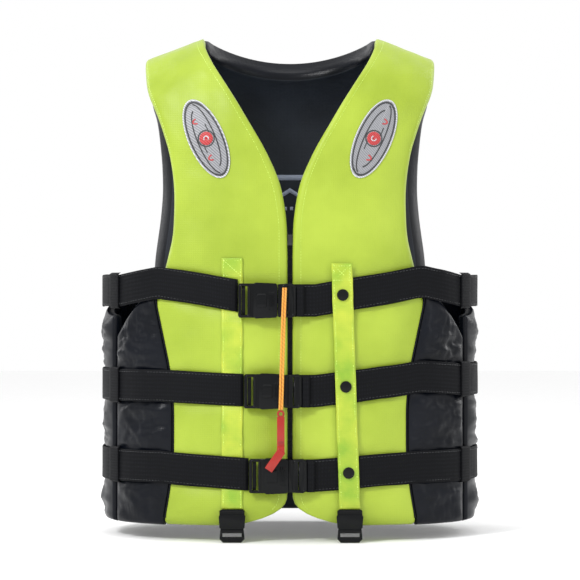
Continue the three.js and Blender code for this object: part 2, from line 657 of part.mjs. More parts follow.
vest.add(whistleMesh);

export default vest;
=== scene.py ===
"""A closed foam buoyancy vest: padded cloth, webbing, buckles, whistle and patches around the CAD frame.

Sizes are in millimetres until a mesh is made. The front faces -Y, and left is -X as seen from the front.
"""
import bmesh
import bpy
import math
from mathutils import Matrix, Vector, noise
from mathutils.bvhtree import BVHTree


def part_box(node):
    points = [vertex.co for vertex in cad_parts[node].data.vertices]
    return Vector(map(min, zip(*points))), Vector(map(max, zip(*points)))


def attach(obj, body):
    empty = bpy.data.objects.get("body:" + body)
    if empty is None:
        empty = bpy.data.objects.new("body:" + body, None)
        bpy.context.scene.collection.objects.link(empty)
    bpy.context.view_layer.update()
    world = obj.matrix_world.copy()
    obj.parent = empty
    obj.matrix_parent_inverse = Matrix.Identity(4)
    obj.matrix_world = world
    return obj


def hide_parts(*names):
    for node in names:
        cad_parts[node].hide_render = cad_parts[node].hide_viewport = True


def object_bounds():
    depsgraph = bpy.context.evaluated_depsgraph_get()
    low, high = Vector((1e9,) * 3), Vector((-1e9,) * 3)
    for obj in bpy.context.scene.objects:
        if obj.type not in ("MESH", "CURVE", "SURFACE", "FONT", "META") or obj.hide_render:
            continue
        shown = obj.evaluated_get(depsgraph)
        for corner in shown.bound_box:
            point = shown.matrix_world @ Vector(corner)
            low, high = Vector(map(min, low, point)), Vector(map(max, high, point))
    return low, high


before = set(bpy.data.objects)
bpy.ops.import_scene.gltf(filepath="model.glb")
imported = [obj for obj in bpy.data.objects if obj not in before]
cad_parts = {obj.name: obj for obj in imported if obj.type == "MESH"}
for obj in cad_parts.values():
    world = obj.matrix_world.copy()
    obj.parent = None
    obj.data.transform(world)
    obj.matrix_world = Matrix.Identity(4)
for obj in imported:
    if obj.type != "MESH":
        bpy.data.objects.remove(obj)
cad_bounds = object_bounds()

MM = 0.001
scene = bpy.context.scene

# ---- The worn shape, as the CAD part has it ----
HALF_WIDTH = 231.0
HALF_DEPTH = 140.0
SHOULDER_HEIGHT = 600.0
SHOULDER_DROP = 30.0
PLAN = 2.4
DOME = 2.6
CHEST_HEIGHT = 0.72 * SHOULDER_HEIGHT
WAIST_T = 0.6
# A padded piece here stands for cover, foam and lining, so it is a lining thicker than the CAD's pad.
LINING_THICK = 2.0
FRONT_PAD = 40.0 + LINING_THICK
BACK_PAD = 36.0 + LINING_THICK
SHOULDER_PAD = 24.0 + LINING_THICK
SIDE_PAD = 12.0
ARM_SLANT = 22.0
ZIP_SLANT = 16.0
NECK = 0.455 * HALF_WIDTH
SHOULDER = 0.797 * HALF_WIDTH
NECK_SAG = 0.62

V_EDGE = [
    (0.6, 0.009), (0.633, 0.017), (0.682, 0.039), (0.717, 0.074), (0.762, 0.126), (0.813, 0.203),
    (0.86, 0.273), (0.905, 0.346), (0.942, 0.407), (0.985, 0.455), (1, 0.455),
]
ARM_EDGE = [
    (0, 0.667), (0.08, 0.632), (0.147, 0.615), (0.243, 0.615), (0.317, 0.636), (0.458, 0.714),
    (0.483, 0.706), (0.522, 0.675), (0.583, 0.636), (0.657, 0.628), (0.693, 0.632), (0.755, 0.654),
    (0.837, 0.71), (0.913, 0.775), (1, 0.797),
]
BACK_EDGE = [
    (0, 0.745), (0.25, 0.753), (0.483, 0.788), (0.543, 0.779), (0.625, 0.749), (0.683, 0.736),
    (0.75, 0.74), (0.817, 0.753), (0.868, 0.766), (0.908, 0.792), (1, 0.797),
]
HEM_CORNER_HEIGHT, HEM_CORNER_WIDTH, HEM_CORNER_POWER = 43.0, 70.0, 3.2
# Each belt: height as a share of the shoulder's, climb at the left and right in mm, X of its buckle.
BELTS = [(0.453, 22, 22, -27.5), (0.272, 5, 16, -20.5), (0.103, 9, 9, -14.5)]
BUCKLE_HALF = 34.5
BELT_WIDTH = 39.0
LEFT_STRAP_X = -69.5
STRAP_TOP = (0.538, 0.527)
STRAP_BOTTOM = 0.036
EDGE_ROUNDING = (-0.018, -0.009, 0, 0.009, 0.018)


def clamp(value, low=0.0, high=1.0):
    return max(low, min(high, value))


def lerp(a, b, share):
    return a + (b - a) * share


def smooth(share):
    share = clamp(share)
    return share * share * (3 - 2 * share)


def steps(count):
    return [i / count for i in range(count + 1)]


def path_length(points):
    return sum((b - a).length for a, b in zip(points, points[1:]))


def along(knots, share):
    """Reads an edge: a rounded line through (height share, width share) points."""
    total = 0.0
    for offset in EDGE_ROUNDING:
        at = clamp(share + offset, knots[0][0], knots[-1][0])
        after = next((i for i, knot in enumerate(knots) if i and knot[0] >= at), len(knots) - 1)
        (a, low), (b, high) = knots[after - 1], knots[after]
        total += lerp(low, high, clamp((at - a) / (b - a)))
    return total / len(EDGE_ROUNDING) * HALF_WIDTH


def reach(x):
    return HALF_DEPTH * (1 - clamp(abs(x) / HALF_WIDTH, 0, 0.9999) ** PLAN) ** (1 / PLAN)


def ridge(x):
    return SHOULDER_HEIGHT - SHOULDER_DROP * max(0, (abs(x) - NECK) / (SHOULDER - NECK))


def rise(t):
    return 0.0 if t <= WAIST_T else math.sin((t - WAIST_T) / (1 - WAIST_T) * math.pi / 2) ** (2 / DOME)


def fall(t):
    return max(0.0, math.cos(clamp((t - WAIST_T) / (1 - WAIST_T)) * math.pi / 2)) ** (2 / DOME)


def level(t):
    return min(t / WAIST_T, 1) * CHEST_HEIGHT + rise(t) * (SHOULDER_HEIGHT - CHEST_HEIGHT)


def skin(side, x, t, depth):
    z = level(min(t, WAIST_T)) + rise(t) * (ridge(x) - depth - CHEST_HEIGHT)
    return Vector((x, side * max((reach(x) - depth) * fall(t), 0.3), z))


def inner_edge(t):
    z = level(t)
    corner = clamp((HEM_CORNER_HEIGHT - z) / HEM_CORNER_HEIGHT) ** HEM_CORNER_POWER * HEM_CORNER_WIDTH
    return along(V_EDGE, z / SHOULDER_HEIGHT) + corner


def angle_of(x):
    share = x / HALF_WIDTH
    return math.asin(clamp(math.copysign(abs(share) ** (PLAN / 2), share), -1, 1))


def flank(angle, lift, z):
    """A point on the plan at an angle from the front centre, moved out along the normal."""
    s, c = math.sin(angle), math.cos(angle)
    x = HALF_WIDTH * math.copysign(abs(s) ** (2 / PLAN), s)
    y = -HALF_DEPTH * math.copysign(abs(c) ** (2 / PLAN), c)
    normal = Vector((
        math.copysign((abs(x) / HALF_WIDTH) ** (PLAN - 1) / HALF_WIDTH, x),
        math.copysign((abs(y) / HALF_DEPTH) ** (PLAN - 1) / HALF_DEPTH, y), 0)).normalized()
    return Vector((x, y, z)) + normal * lift


def belt_height(belt, x):
    share, left, right, _ = belt
    out = clamp((abs(x) - 30) / (0.67 * HALF_WIDTH - 30))
    back = clamp((abs(x) - 0.7 * HALF_WIDTH) / (0.2 * HALF_WIDTH))
    side = left if x < 0 else right
    return share * SHOULDER_HEIGHT + side * out - max(0, side - 12) * back


def waist_relief(x, z):
    """How far the padding stands out (+) between the belts or is drawn in (-) under them."""
    out = 0.0
    if z < 0.56 * SHOULDER_HEIGHT:
        out = 2.6 * smooth((0.56 * SHOULDER_HEIGHT - z) / 60) * smooth(z / 25)
    for belt in BELTS:
        gap = (z - belt_height(belt, x)) / 25
        out -= 4.0 * math.exp(-gap ** 4)
    return out


def creases(point, size, stretch, seed):
    """Soft folds: noise that runs longer one way than the other."""
    place = Vector((point.x / size * stretch[0], point.y / size * stretch[1], point.z / size * stretch[2]))
    return noise.fractal(place + Vector((seed, seed * 1.7, 0)), 0.9, 2.0, 3)


# ---- Meshes ----
def new_object(name, mesh):
    obj = bpy.data.objects.new(name, mesh)
    scene.collection.objects.link(obj)
    return obj


def build(name, sheets, materials, weld=0.15, smooth_faces=True):
    """One mesh from grids of points; each sheet is (points, material index, flipped, (u, v) size in mm)."""
    bm = bmesh.new()
    uv = bm.loops.layers.uv.new("UVMap")
    for points, slot, flipped, span in sheets:
        rows = [[bm.verts.new(point * MM) for point in row] for row in points]
        last_row, last_column = len(rows) - 1, len(rows[0]) - 1
        for r in range(last_row):
            for c in range(last_column):
                corners = [(r, c), (r, c + 1), (r + 1, c + 1), (r + 1, c)]
                if flipped:
                    corners.reverse()
                face = bm.faces.new([rows[i][j] for i, j in corners])
                face.material_index = slot
                face.smooth = smooth_faces
                for loop, (i, j) in zip(face.loops, corners):
                    loop[uv].uv = (span[0] * j / last_column * MM, span[1] * i / last_row * MM)
    bmesh.ops.remove_doubles(bm, verts=bm.verts, dist=weld * MM)
    bmesh.ops.dissolve_degenerate(bm, edges=bm.edges, dist=1e-6)
    bmesh.ops.recalc_face_normals(bm, faces=bm.faces)
    mesh = bpy.data.meshes.new(name)
    bm.to_mesh(mesh)
    bm.free()
    for material in materials:
        mesh.materials.append(material)
    return new_object(name, mesh)


def shell(outer, inner, span, slots=(0, 0, 0)):
    """Sheets of a closed body between two matching grids: outer face, inner face and four edges."""
    side = [[row_out[k], row_in[k]] for k in (0, -1) for row_out, row_in in zip(outer, inner)]
    half = len(outer)
    ends = [[list(outer[k]), list(inner[k])] for k in (0, -1)]
    return [
        (outer, slots[0], False, span), (inner, slots[1], True, span),
        (side[:half], slots[2], True, (2, span[1])), (side[half:], slots[2], False, (2, span[1])),
        (ends[0], slots[2], True, (span[0], 2)), (ends[1], slots[2], False, (span[0], 2)),
    ]


def two_faces(rows, columns, pair_at):
    """Matching outer and inner grids from a function that gives both points at (row, column)."""
    pairs = [[pair_at(row, column) for column in columns] for row in rows]
    return [[[pair[k] for pair in row] for row in pairs] for k in (0, 1)]


def plain_mesh(obj):
    """Applies every modifier, leaving a plain mesh."""
    graph = bpy.context.evaluated_depsgraph_get()
    mesh = bpy.data.meshes.new_from_object(obj.evaluated_get(graph), depsgraph=graph)
    old = obj.data
    obj.modifiers.clear()
    if obj.type == "MESH":
        obj.data = mesh
        return obj
    fresh = new_object(obj.name + "_mesh", mesh)
    bpy.data.objects.remove(obj)
    bpy.data.curves.remove(old)
    return fresh


def join(name, objects):
    """Joins pieces at the origin into one object."""
    bm = bmesh.new()
    materials = []
    for obj in objects:
        slots = []
        for material in obj.data.materials:
            if material not in materials:
                materials.append(material)
            slots.append(materials.index(material))
        first = len(bm.faces)
        bm.from_mesh(obj.data)
        bm.faces.ensure_lookup_table()
        for face in bm.faces[first:]:
            face.material_index = slots[face.material_index] if slots else 0
    mesh = bpy.data.meshes.new(name)
    bm.to_mesh(mesh)
    bm.free()
    for material in materials:
        mesh.materials.append(material)
    for obj in objects:
        bpy.data.objects.remove(obj)
    return new_object(name, mesh)


def surface_of(*objects):
    """A search tree over the finished faces, in metres."""
    verts, faces = [], []
    for obj in objects:
        first = len(verts)
        verts += [vertex.co.copy() for vertex in obj.data.vertices]
        faces += [[first + i for i in polygon.vertices] for polygon in obj.data.polygons]
    return BVHTree.FromPolygons(verts, faces)


def lay_on(tree, point, direction, lift, fallback=None):
    """Moves a point in mm along a direction until it lies a little above the surface."""
    start = (point - direction * 60) * MM
    hit = tree.ray_cast(start, direction, 120 * MM)[0]
    if hit is None:
        return fallback if fallback is not None else point
    return hit / MM - direction * lift


# ---- Materials ----
def linear(code):
    """sRGB hex to linear colour."""
    parts = [int(code[i:i + 2], 16) / 255 for i in (1, 3, 5)]
    return [p / 12.92 if p <= 0.04045 else ((p + 0.055) / 1.055) ** 2.4 for p in parts] + [1.0]


def add(tree, kind, inputs=None, **settings):
    """Adds a node, sets it up and links (node, output) pairs into its inputs."""
    made = tree.nodes.new(kind)
    for key, value in settings.items():
        setattr(made, key, value)
    for key, value in (inputs or {}).items():
        if isinstance(value, tuple) and len(value) == 2 and hasattr(value[0], "outputs"):
            tree.links.new(value[0].outputs[value[1]], made.inputs[key])
        else:
            made.inputs[key].default_value = value
    return made


def finish_of(name, roughness, metallic=0.0, **constants):
    """A material with its shader; constants go on the shader's own sockets."""
    material = bpy.data.materials.new(name)
    material.use_nodes = True
    tree = material.node_tree
    tree.nodes.clear()
    shader = add(tree, "ShaderNodeBsdfPrincipled", {"Roughness": roughness, "Metallic": metallic})
    for key, value in constants.items():
        shader.inputs[key.replace("_", " ")].default_value = value
    add(tree, "ShaderNodeOutputMaterial", {"Surface": (shader, "BSDF")})
    return material, tree, shader


def dress(tree, shader, colour, bump, gloss=None):
    """Links a finish's colour, relief and gloss into its shader."""
    tree.links.new(colour.outputs[2], shader.inputs["Base Color"])
    tree.links.new(bump.outputs["Normal"], shader.inputs["Normal"])
    if gloss:
        tree.links.new(gloss.outputs["Result"], shader.inputs["Roughness"])


def bands(tree, place, kind, pitch, way, distortion, detail, **more):
    """Evenly spaced threads or ribs, one every pitch mm."""
    # One cycle of the wave texture is 0.314 units long at scale 1.
    inputs = {"Vector": (place, kind), "Scale": 0.314 / (pitch * MM) / 2, "Distortion": distortion,
              "Detail": detail, **more}
    return add(tree, "ShaderNodeTexWave", inputs, wave_type="BANDS", bands_direction=way)


def mottle(tree, place, scale, detail):
    return add(tree, "ShaderNodeTexNoise", {"Vector": (place, "Object"), "Scale": scale, "Detail": detail})


def between(tree, share, dark, light):
    """A colour between two; share is a (node, output) pair or a number."""
    return add(tree, "ShaderNodeMix", {0: share, 6: dark, 7: light}, data_type="RGBA")


def woven(name, dark, light, thread, roughness, depth, streak, **constants):
    """Woven cloth: crossed threads as a fine bump, with slow changes of colour and gloss."""
    material, tree, shader = finish_of(name, roughness, **constants)
    place = add(tree, "ShaderNodeTexCoord")
    # The real threads are about 0.4 mm; they are drawn coarser so that they show.
    waves = [bands(tree, place, "Object", thread, way, 0.6, 1.0, **{"Detail Scale": 4.0})
             for way in ("X", "Z")]
    cross = add(tree, "ShaderNodeMath", {0: (waves[0], "Fac"), 1: (waves[1], "Fac")}, operation="MAXIMUM")
    slow = mottle(tree, place, streak, 5.0)
    ramp = add(tree, "ShaderNodeValToRGB", {"Fac": (slow, "Fac")})
    ramp.color_ramp.elements[0].position, ramp.color_ramp.elements[1].position = 0.3, 0.7
    ramp.color_ramp.elements[0].color, ramp.color_ramp.elements[1].color = linear(dark), linear(light)
    shade = between(tree, (cross, 0), linear(dark), (ramp, "Color"))
    tint = between(tree, 0.8, (shade, 2), (ramp, "Color"))
    gloss = add(tree, "ShaderNodeMapRange", {"Value": (slow, "Fac"), "To Min": roughness - 0.07,
                                             "To Max": roughness + 0.07})
    fold = mottle(tree, place, 55.0, 3.0)
    rough_bump = add(tree, "ShaderNodeBump", {"Height": (fold, "Fac"), "Strength": 0.22, "Distance": 0.0012})
    bump = add(tree, "ShaderNodeBump", {"Height": (cross, 0), "Strength": depth, "Distance": 0.0003,
                                        "Normal": (rough_bump, "Normal")})
    dress(tree, shader, tint, bump, gloss)
    return material


def webbing(name, dark, light, rib, roughness):
    """Flat woven polypropylene: ribs along its length on the UV map, with a finer cross weave."""
    material, tree, shader = finish_of(name, roughness, Specular_IOR_Level=0.12)
    place = add(tree, "ShaderNodeTexCoord")
    ribs = bands(tree, place, "UV", rib, "Y", 0.3, 0.0)
    picks = bands(tree, place, "UV", rib / 1.25, "X", 0.8, 1.0)
    mixed = add(tree, "ShaderNodeMath", {0: (ribs, "Fac"), 1: (picks, "Fac")}, operation="MULTIPLY")
    worn = mottle(tree, place, 60.0, 4.0)
    share = add(tree, "ShaderNodeMath", {0: (mixed, 0), 1: (worn, "Fac")}, operation="MULTIPLY")
    colour = between(tree, (share, 0), linear(dark), linear(light))
    bump = add(tree, "ShaderNodeBump", {"Height": (mixed, 0), "Strength": 0.6, "Distance": 0.0004})
    dress(tree, shader, colour, bump)
    return material


def moulded(name, dark, light, roughness, grain=900.0, **constants):
    """Injection-moulded plastic: a faint spark-eroded grain and slightly uneven gloss."""
    material, tree, shader = finish_of(name, roughness, **constants)
    place = add(tree, "ShaderNodeTexCoord")
    fine = mottle(tree, place, grain, 2.0)
    slow = mottle(tree, place, 45.0, 3.0)
    colour = between(tree, (slow, "Fac"), linear(dark), linear(light))
    gloss = add(tree, "ShaderNodeMapRange", {"Value": (slow, "Fac"), "To Min": roughness - 0.08,
                                             "To Max": roughness + 0.1})
    bump = add(tree, "ShaderNodeBump", {"Height": (fine, "Fac"), "Strength": 0.12, "Distance": 0.0002})
    dress(tree, shader, colour, bump, gloss)
    return material


def thread(name, dark, light, pitch, roughness, metallic=0.0):
    """Embroidery and sewing thread: slanted satin stitches side by side with a soft shine."""
    material, tree, shader = finish_of(name, roughness, metallic, Sheen_Weight=0.3)
    place = add(tree, "ShaderNodeTexCoord")
    wave = bands(tree, place, "Object", pitch, "DIAGONAL", 1.2, 2.0)
    colour = between(tree, (wave, "Fac"), linear(dark), linear(light))
    bump = add(tree, "ShaderNodeBump", {"Height": (wave, "Fac"), "Strength": 0.5, "Distance": 0.0004})
    dress(tree, shader, colour, bump)
    return material


# Coated polyester oxford, woven and dyed fluorescent: bright, with a satin shine on every fold.
LIME = woven("lime_oxford_cloth", "#8a9f28", "#a4b93b", 1.1, 0.42, 0.35, 9.0, Sheen_Weight=0.05,
             Sheen_Roughness=0.3, Specular_IOR_Level=0.35)
# Thin navy-black nylon taffeta: darker, smoother, and glossier where it wrinkles.
NYLON = woven("dark_nylon_taffeta", "#03050b", "#090d16", 0.9, 0.3, 0.25, 12.0,
              Specular_IOR_Level=0.17)
# The same taffeta as a lining, a little duller; its colour is painted lighter than the nylon's, painted light
# standing in for light reaching the shaded inside.
PAINTED_LIGHTER_LINING = woven("lining_taffeta_painted_lighter", "#12161e", "#20262f", 0.9, 0.5, 0.25, 12.0, Specular_IOR_Level=0.26)
# Folded cotton-polyester binding, tightly woven: a dull black line on a seam.
PIPING = webbing("black_bias_binding", "#101116", "#22242b", 0.9, 0.7)
# Flat woven polypropylene webbing, 38 to 40 mm: ribbed, black, with a low sheen.
WEBBING = webbing("black_polypropylene_webbing", "#050609", "#13141a", 1.7, 0.6)
# The same lime cloth folded and sewn into a strap: ribbed by its rows of stitching. Its colour swings wide at
# random between a green and a yellow tone: painted shade and painted highlights standing in for light on its
# wrinkles.
LIME_STRAP_PAINTED_FOLD_LIGHT = woven("lime_strap_cloth_painted_fold_light", "#7fa520", "#c3c93a", 1.3, 0.46, 0.5, 22.0, Sheen_Weight=0.08)
# Acetal, injection moulded: hard black plastic with a satin tool finish.
ACETAL = moulded("black_moulded_acetal", "#020304", "#06080b", 0.22, Specular_IOR_Level=0.18)
# Acetal for the snap caps, tumbled smooth.
SNAP = moulded("black_snap_plastic", "#030405", "#08090b", 0.26, 400.0, Specular_IOR_Level=0.2)
# Translucent ABS, moulded: an orange whistle, glossy, with a warm light-catching body.
WHISTLE = moulded("orange_moulded_abs", "#860f08", "#ab2412", 0.24, 300.0, Subsurface_Weight=0.15)
# Polyester cord, twisted: a warm yellow lanyard.
CORD = thread("yellow_polyester_cord", "#c8801e", "#dc9a30", 1.2, 0.6)
SILVER_THREAD = thread("silver_embroidery_thread", "#6f7075", "#97989c", 0.9, 0.5, 0.1)
PALE_THREAD = thread("pale_border_thread", "#97989e", "#cfd0d4", 0.9, 0.45, 0.1)
BLACK_THREAD = thread("black_embroidery_thread", "#0e0f12", "#2b2c31", 0.8, 0.5)
RED_THREAD = thread("red_embroidery_thread", "#8f1c20", "#c03a3c", 0.8, 0.5)
LIME_THREAD = thread("lime_sewing_thread", "#9fc23a", "#e4ff84", 1.0, 0.5)
DARK_THREAD = thread("charcoal_sewing_thread", "#101216", "#22252b", 1.0, 0.6)
# Die-cast zinc, plated dull: the zip's slider.
ZINC = moulded("plated_zinc", "#0c0d0f", "#191a1d", 0.35, 500.0, Coat_Weight=0.1)
# Pale screen print on the lining, slightly cracked by wear.
INK = moulded("pale_screen_print", "#7f889c", "#a5adc0", 0.6, 350.0)

# ---- Camera, light and floor ----
HEM = cad_bounds[0][2] / MM
eye = bpy.data.objects.new("eye", bpy.data.cameras.new("eye"))
scene.collection.objects.link(eye)
eye.location = (0.0, -3.04, 0.2844)
eye.rotation_euler = (math.pi / 2, 0.0, 0.0)
eye.data.lens = 150.0
eye.data.sensor_width = 36.0
scene.camera = eye


def soft_light(name, place, aim_height, size, power):
    lamp = bpy.data.objects.new(name, bpy.data.lights.new(name, "AREA"))
    scene.collection.objects.link(lamp)
    lamp.location = place
    lamp.rotation_euler = (Vector((0, 0, aim_height)) - Vector(place)).to_track_quat("-Z", "Y").to_euler()
    lamp.data.shape = "RECTANGLE"
    lamp.data.size, lamp.data.size_y = size
    lamp.data.energy = power


soft_light("key", (-1.5, -2.0, 2.0), 0.3, (0.6, 0.6), 52)
soft_light("fill", (1.9, -1.9, 0.9), 0.3, (1.0, 1.2), 7)
soft_light("rim_left", (-1.6, 0.9, 1.2), 0.3, (0.5, 1.6), 9)
soft_light("rim_right", (1.6, 0.9, 1.2), 0.3, (0.5, 1.6), 9)
soft_light("top", (0, -0.2, 2.4), 0.4, (1.2, 0.8), 9)
sky = bpy.data.worlds.new("studio")
scene.world = sky
sky.use_nodes = True
sky.node_tree.nodes["Background"].inputs["Color"].default_value = (1.0, 1.0, 1.0, 1.0)
sky.node_tree.nodes["Background"].inputs["Strength"].default_value = 1.0
scene.view_settings.view_transform = "Standard"

# Matt white painted board: no texture of its own, only a very slow mottling.
BOARD = moulded("white_painted_board", "#f4f4f4", "#fbfbfb", 0.85, 60.0)
floor_span = 6000.0
floor = build("floor", [(
    [[Vector((x, y, HEM - 0.6)) for x in (-floor_span, floor_span)] for y in (-floor_span, floor_span)],
    0, False, (floor_span, floor_span))], [BOARD])


def settle(obj, body, *nodes, slot=None):
    """Lets a finished piece ride on its body and stand for its CAD nodes."""
    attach(obj, body)
    if nodes:
        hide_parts(*nodes)
    return obj


def round_in(distance, radius):
    """How far a rounded edge falls away at a distance from the edge."""
    left = radius - clamp(distance, 0, radius)
    return radius - math.sqrt(max(0.0, radius * radius - left * left))


FINE = [0, 1.2, 3, 6, 10, 15, 21]


def shares(width, count):
    near = [step / width for step in FINE]
    middle = [lerp(near[-1], 1 - near[-1], i / count) for i in range(1, count)]
    return near + middle + [1 - share for share in reversed(near)]


HEIGHT_SHARES = [step * WAIST_T / CHEST_HEIGHT for step in FINE]
HEIGHT_SHARES += [lerp(HEIGHT_SHARES[-1], WAIST_T, i / 66) for i in range(1, 67)]
HEIGHT_SHARES += [lerp(WAIST_T, 1, i / 30) for i in range(1, 31)]


# ---- Padded fronts and back ----
def front_point(hand, s, t, depth, lean=1.0):
    """A point of a front; a lean under 1 slants the zip edge less, so that the halves nearly meet."""
    share = depth / FRONT_PAD
    start = inner_edge(t) + ZIP_SLANT * share * lean
    end = along(ARM_EDGE, level(t) / SHOULDER_HEIGHT) - ARM_SLANT * share
    return skin(-1, hand * lerp(start, end, s), t, depth)


def back_point(s, t, depth):
    middle = math.sqrt(1 - clamp(abs(2 * s - 1) * SHOULDER / NECK) ** 2)
    top = lerp(1, WAIST_T + (1 - WAIST_T) * NECK_SAG, middle)
    row = t if t <= WAIST_T else WAIST_T + (t - WAIST_T) * (top - WAIST_T) / (1 - WAIST_T)
    edge = along(BACK_EDGE, level(row) / SHOULDER_HEIGHT) - ARM_SLANT * depth / BACK_PAD
    return skin(1, (2 * s - 1) * edge, row, depth)


def pad_thickness(pad, t):
    return lerp(pad, SHOULDER_PAD, clamp((t - WAIST_T) / (1 - WAIST_T)))


ZIP_LEAN, ZIP_CROWN = 0.3, 3.0
LINING_ROLL = 7


def pad_grids(place, pad, width, count, seed, roll, puff, flush=False):
    """Outer and inner faces of a pad with rolled edges and soft creases; a flush pad meets the side panel."""
    def pair_at(t, s):
        flat = place(s, t, 0)
        near, hem = min(s, 1 - s) * width, level(t)
        free = smooth(min(near, hem) / 24) * (1 - smooth((t - 0.93) / 0.07))
        raised = (waist_relief(flat.x, flat.z) + puff * creases(flat, 58, (1, 1, 1.5), seed)) * free
        raised += 0.5 * creases(flat, 16, (1, 1, 0.8), seed + 5) * free
        seam, crown = roll, 0.0
        if flush and s >= 0.5:
            seam = lerp(3.0, roll, smooth((hem - 0.44 * SHOULDER_HEIGHT) / 24))
        elif flush:
            seam = lerp(5.0, 10.0, smooth((hem - 0.52 * SHOULDER_HEIGHT) / 70))
            crown = 1 - smooth((near - 2) / 52)
            crown *= ZIP_CROWN * (1 - smooth((hem - 0.7 * SHOULDER_HEIGHT) / 120))
        falls = max(round_in(near, seam), round_in(hem, roll)) + crown * smooth(hem / 30)
        inner_falls = max(round_in(near, LINING_ROLL), round_in(hem, LINING_ROLL))
        return (place(s, t, falls - raised, *([ZIP_LEAN] if flush else [])),
                place(s, t, pad_thickness(pad, t) - inner_falls))

    return two_faces(HEIGHT_SHARES, shares(width, count), pair_at)


def inflate(obj, held, cap):
    """Air swells the cloth between its sewn and belted parts; the shape is kept, up to a cap in mm."""
    before = [vertex.co.copy() for vertex in obj.data.vertices]
    group = obj.vertex_groups.new(name="held")
    for vertex in obj.data.vertices:
        group.add([vertex.index], clamp(held(vertex.co / MM)), "REPLACE")
    cloth = obj.modifiers.new("air", "CLOTH").settings
    cloth.vertex_group_mass = "held"
    cloth.use_pressure = True
    cloth.uniform_pressure_force = 4.0
    cloth.effector_weights.gravity = 0.0
    for frame_number in range(1, 21):
        scene.frame_set(frame_number)
    plain_mesh(obj)
    obj.vertex_groups.clear()
    for vertex, start in zip(obj.data.vertices, before):
        move = vertex.co - start
        if move.length > cap * MM:
            vertex.co = start + move.normalized() * cap * MM
    scene.frame_set(1)
    return obj


def belted(point):
    """1 where a belt, an edge or a seam holds the cloth, 0 in the middle of a free stretch."""
    hold = max(math.exp(-((point.z - belt_height(belt, point.x)) / 24) ** 4) for belt in BELTS)
    share = point.z / SHOULDER_HEIGHT
    outer = along(ARM_EDGE, clamp(share)) - abs(point.x)
    inner = abs(point.x) - inner_edge(clamp(share * 1.02))
    hem = point.z
    edge = 1 - smooth((min(outer, inner, hem) - 3) / 14)
    inside = 1.0 if point.y > -(reach(point.x) - 22) * 0.9 and point.z < CHEST_HEIGHT else 0.0
    return max(hold, edge, inside, smooth((point.z - 520) / 40))


front_pads = []
for hand, side in ((-1, "left"), (1, "right")):
    faces = pad_grids(lambda *where: front_point(hand, *where), FRONT_PAD, 150, 24, 3 + hand, 14, 1.8, True)
    pad = build("front_pad_" + side, shell(*faces, (150, 650), (0, 1, 0)), [LIME, PAINTED_LIGHTER_LINING])
    inflate(pad, belted, 5)
    settle(pad, "root", *(f"front_{part}_{side}" for part in ("cover", "foam", "lining")), slot="lime_cloth")
    front_pads.append(pad)

back_faces = pad_grids(back_point, BACK_PAD, 350, 50, 9, 12, 2.2)
back_pad = build("back_pad", shell(*back_faces, (350, 640), (0, 1, 0)), [NYLON, PAINTED_LIGHTER_LINING])
settle(back_pad, "root", "back_cover", "back_foam", "back_lining", slot="dark_nylon")

# ---- Side panels: thin padding in loose, wrinkled cloth ----
SIDE_GAP_X = (0.922 * HALF_WIDTH, 0.922 * HALF_WIDTH + 4)
SIDE_SPAN = (95, 280)
SEAM_CLEARANCE = 0.6


def front_seam(z):
    return angle_of(along(ARM_EDGE, z / SHOULDER_HEIGHT) + SEAM_CLEARANCE)


def back_seam(z):
    return math.pi - angle_of(along(BACK_EDGE, z / SHOULDER_HEIGHT) + SEAM_CLEARANCE)


def side_height(s, t, top):
    return t * lerp(top[0], top[1], s ** 1.5) * SHOULDER_HEIGHT


def side_panel(name, hand, start, end, top, seed, puff):
    def pair_at(t, s):
        z = side_height(s, t, top)
        angle = hand * lerp(start(z), end(z), s)
        flat = flank(angle, 0, z)
        near, hem = min(s, 1 - s) * SIDE_SPAN[0], min(t, 1 - t) * SIDE_SPAN[1]
        edge = smooth(min(near, hem) / 16)
        tucks = creases(flat, 34, (0.6, 0.6, 1.8), seed)
        tucks += 0.42 * creases(flat, 12, (0.8, 0.8, 1.5), seed + 2)
        held = max(math.exp(-((z - belt_height(belt, flat.x)) / 23) ** 4) for belt in BELTS)
        raised = (puff + 4.2 * tucks) * edge * (1 - held) - 1.6 * held * edge
        falls = max(round_in(near, 2.5), round_in(hem, 5))
        return flank(angle, raised - falls, z), flank(angle, falls - SIDE_PAD, z)

    grids = two_faces(shares(SIDE_SPAN[1], 74), shares(SIDE_SPAN[0], 26), pair_at)
    panel = build(name, shell(*grids, SIDE_SPAN), [NYLON])
    settle(panel, "root", name.replace("_pad", ""), slot="dark_nylon")
    return panel


side_pads = []
for hand, side in ((-1, "left"), (1, "right")):
    near_end, far_start = (angle_of(x) for x in SIDE_GAP_X)
    side_pads.append(side_panel("side_panel_front_" + side + "_pad", hand, front_seam, lambda z: near_end,
                                (0.47, 0.38), 11 + hand, 2.4))
    side_pads.append(side_panel("side_panel_back_" + side + "_pad", hand, lambda z: far_start, back_seam,
                                (0.423, 0.497), 17 + hand, 3.0))

# Gussets: a strip of the same cloth joins the two side panels behind their gap.
GUSSET_LIFTS = (-12.3, -13.4)
GUSSET_LAP = 7
for hand, side in ((-1, "left"), (1, "right")):
    low_x, high_x = SIDE_GAP_X
    faces = []
    for lift in GUSSET_LIFTS:
        faces.append([[flank(hand * angle_of(lerp(low_x - GUSSET_LAP, high_x + GUSSET_LAP, s)), lift, z)
                       for s in steps(10)] for z in [lerp(3, 224, share) for share in steps(60)]])
    gusset = build(f"side_gusset_{side}", shell(*faces, (20, 221)), [NYLON])
    settle(gusset, "root", slot="dark_nylon")
    wide = path_length(faces[0][30]) * MM

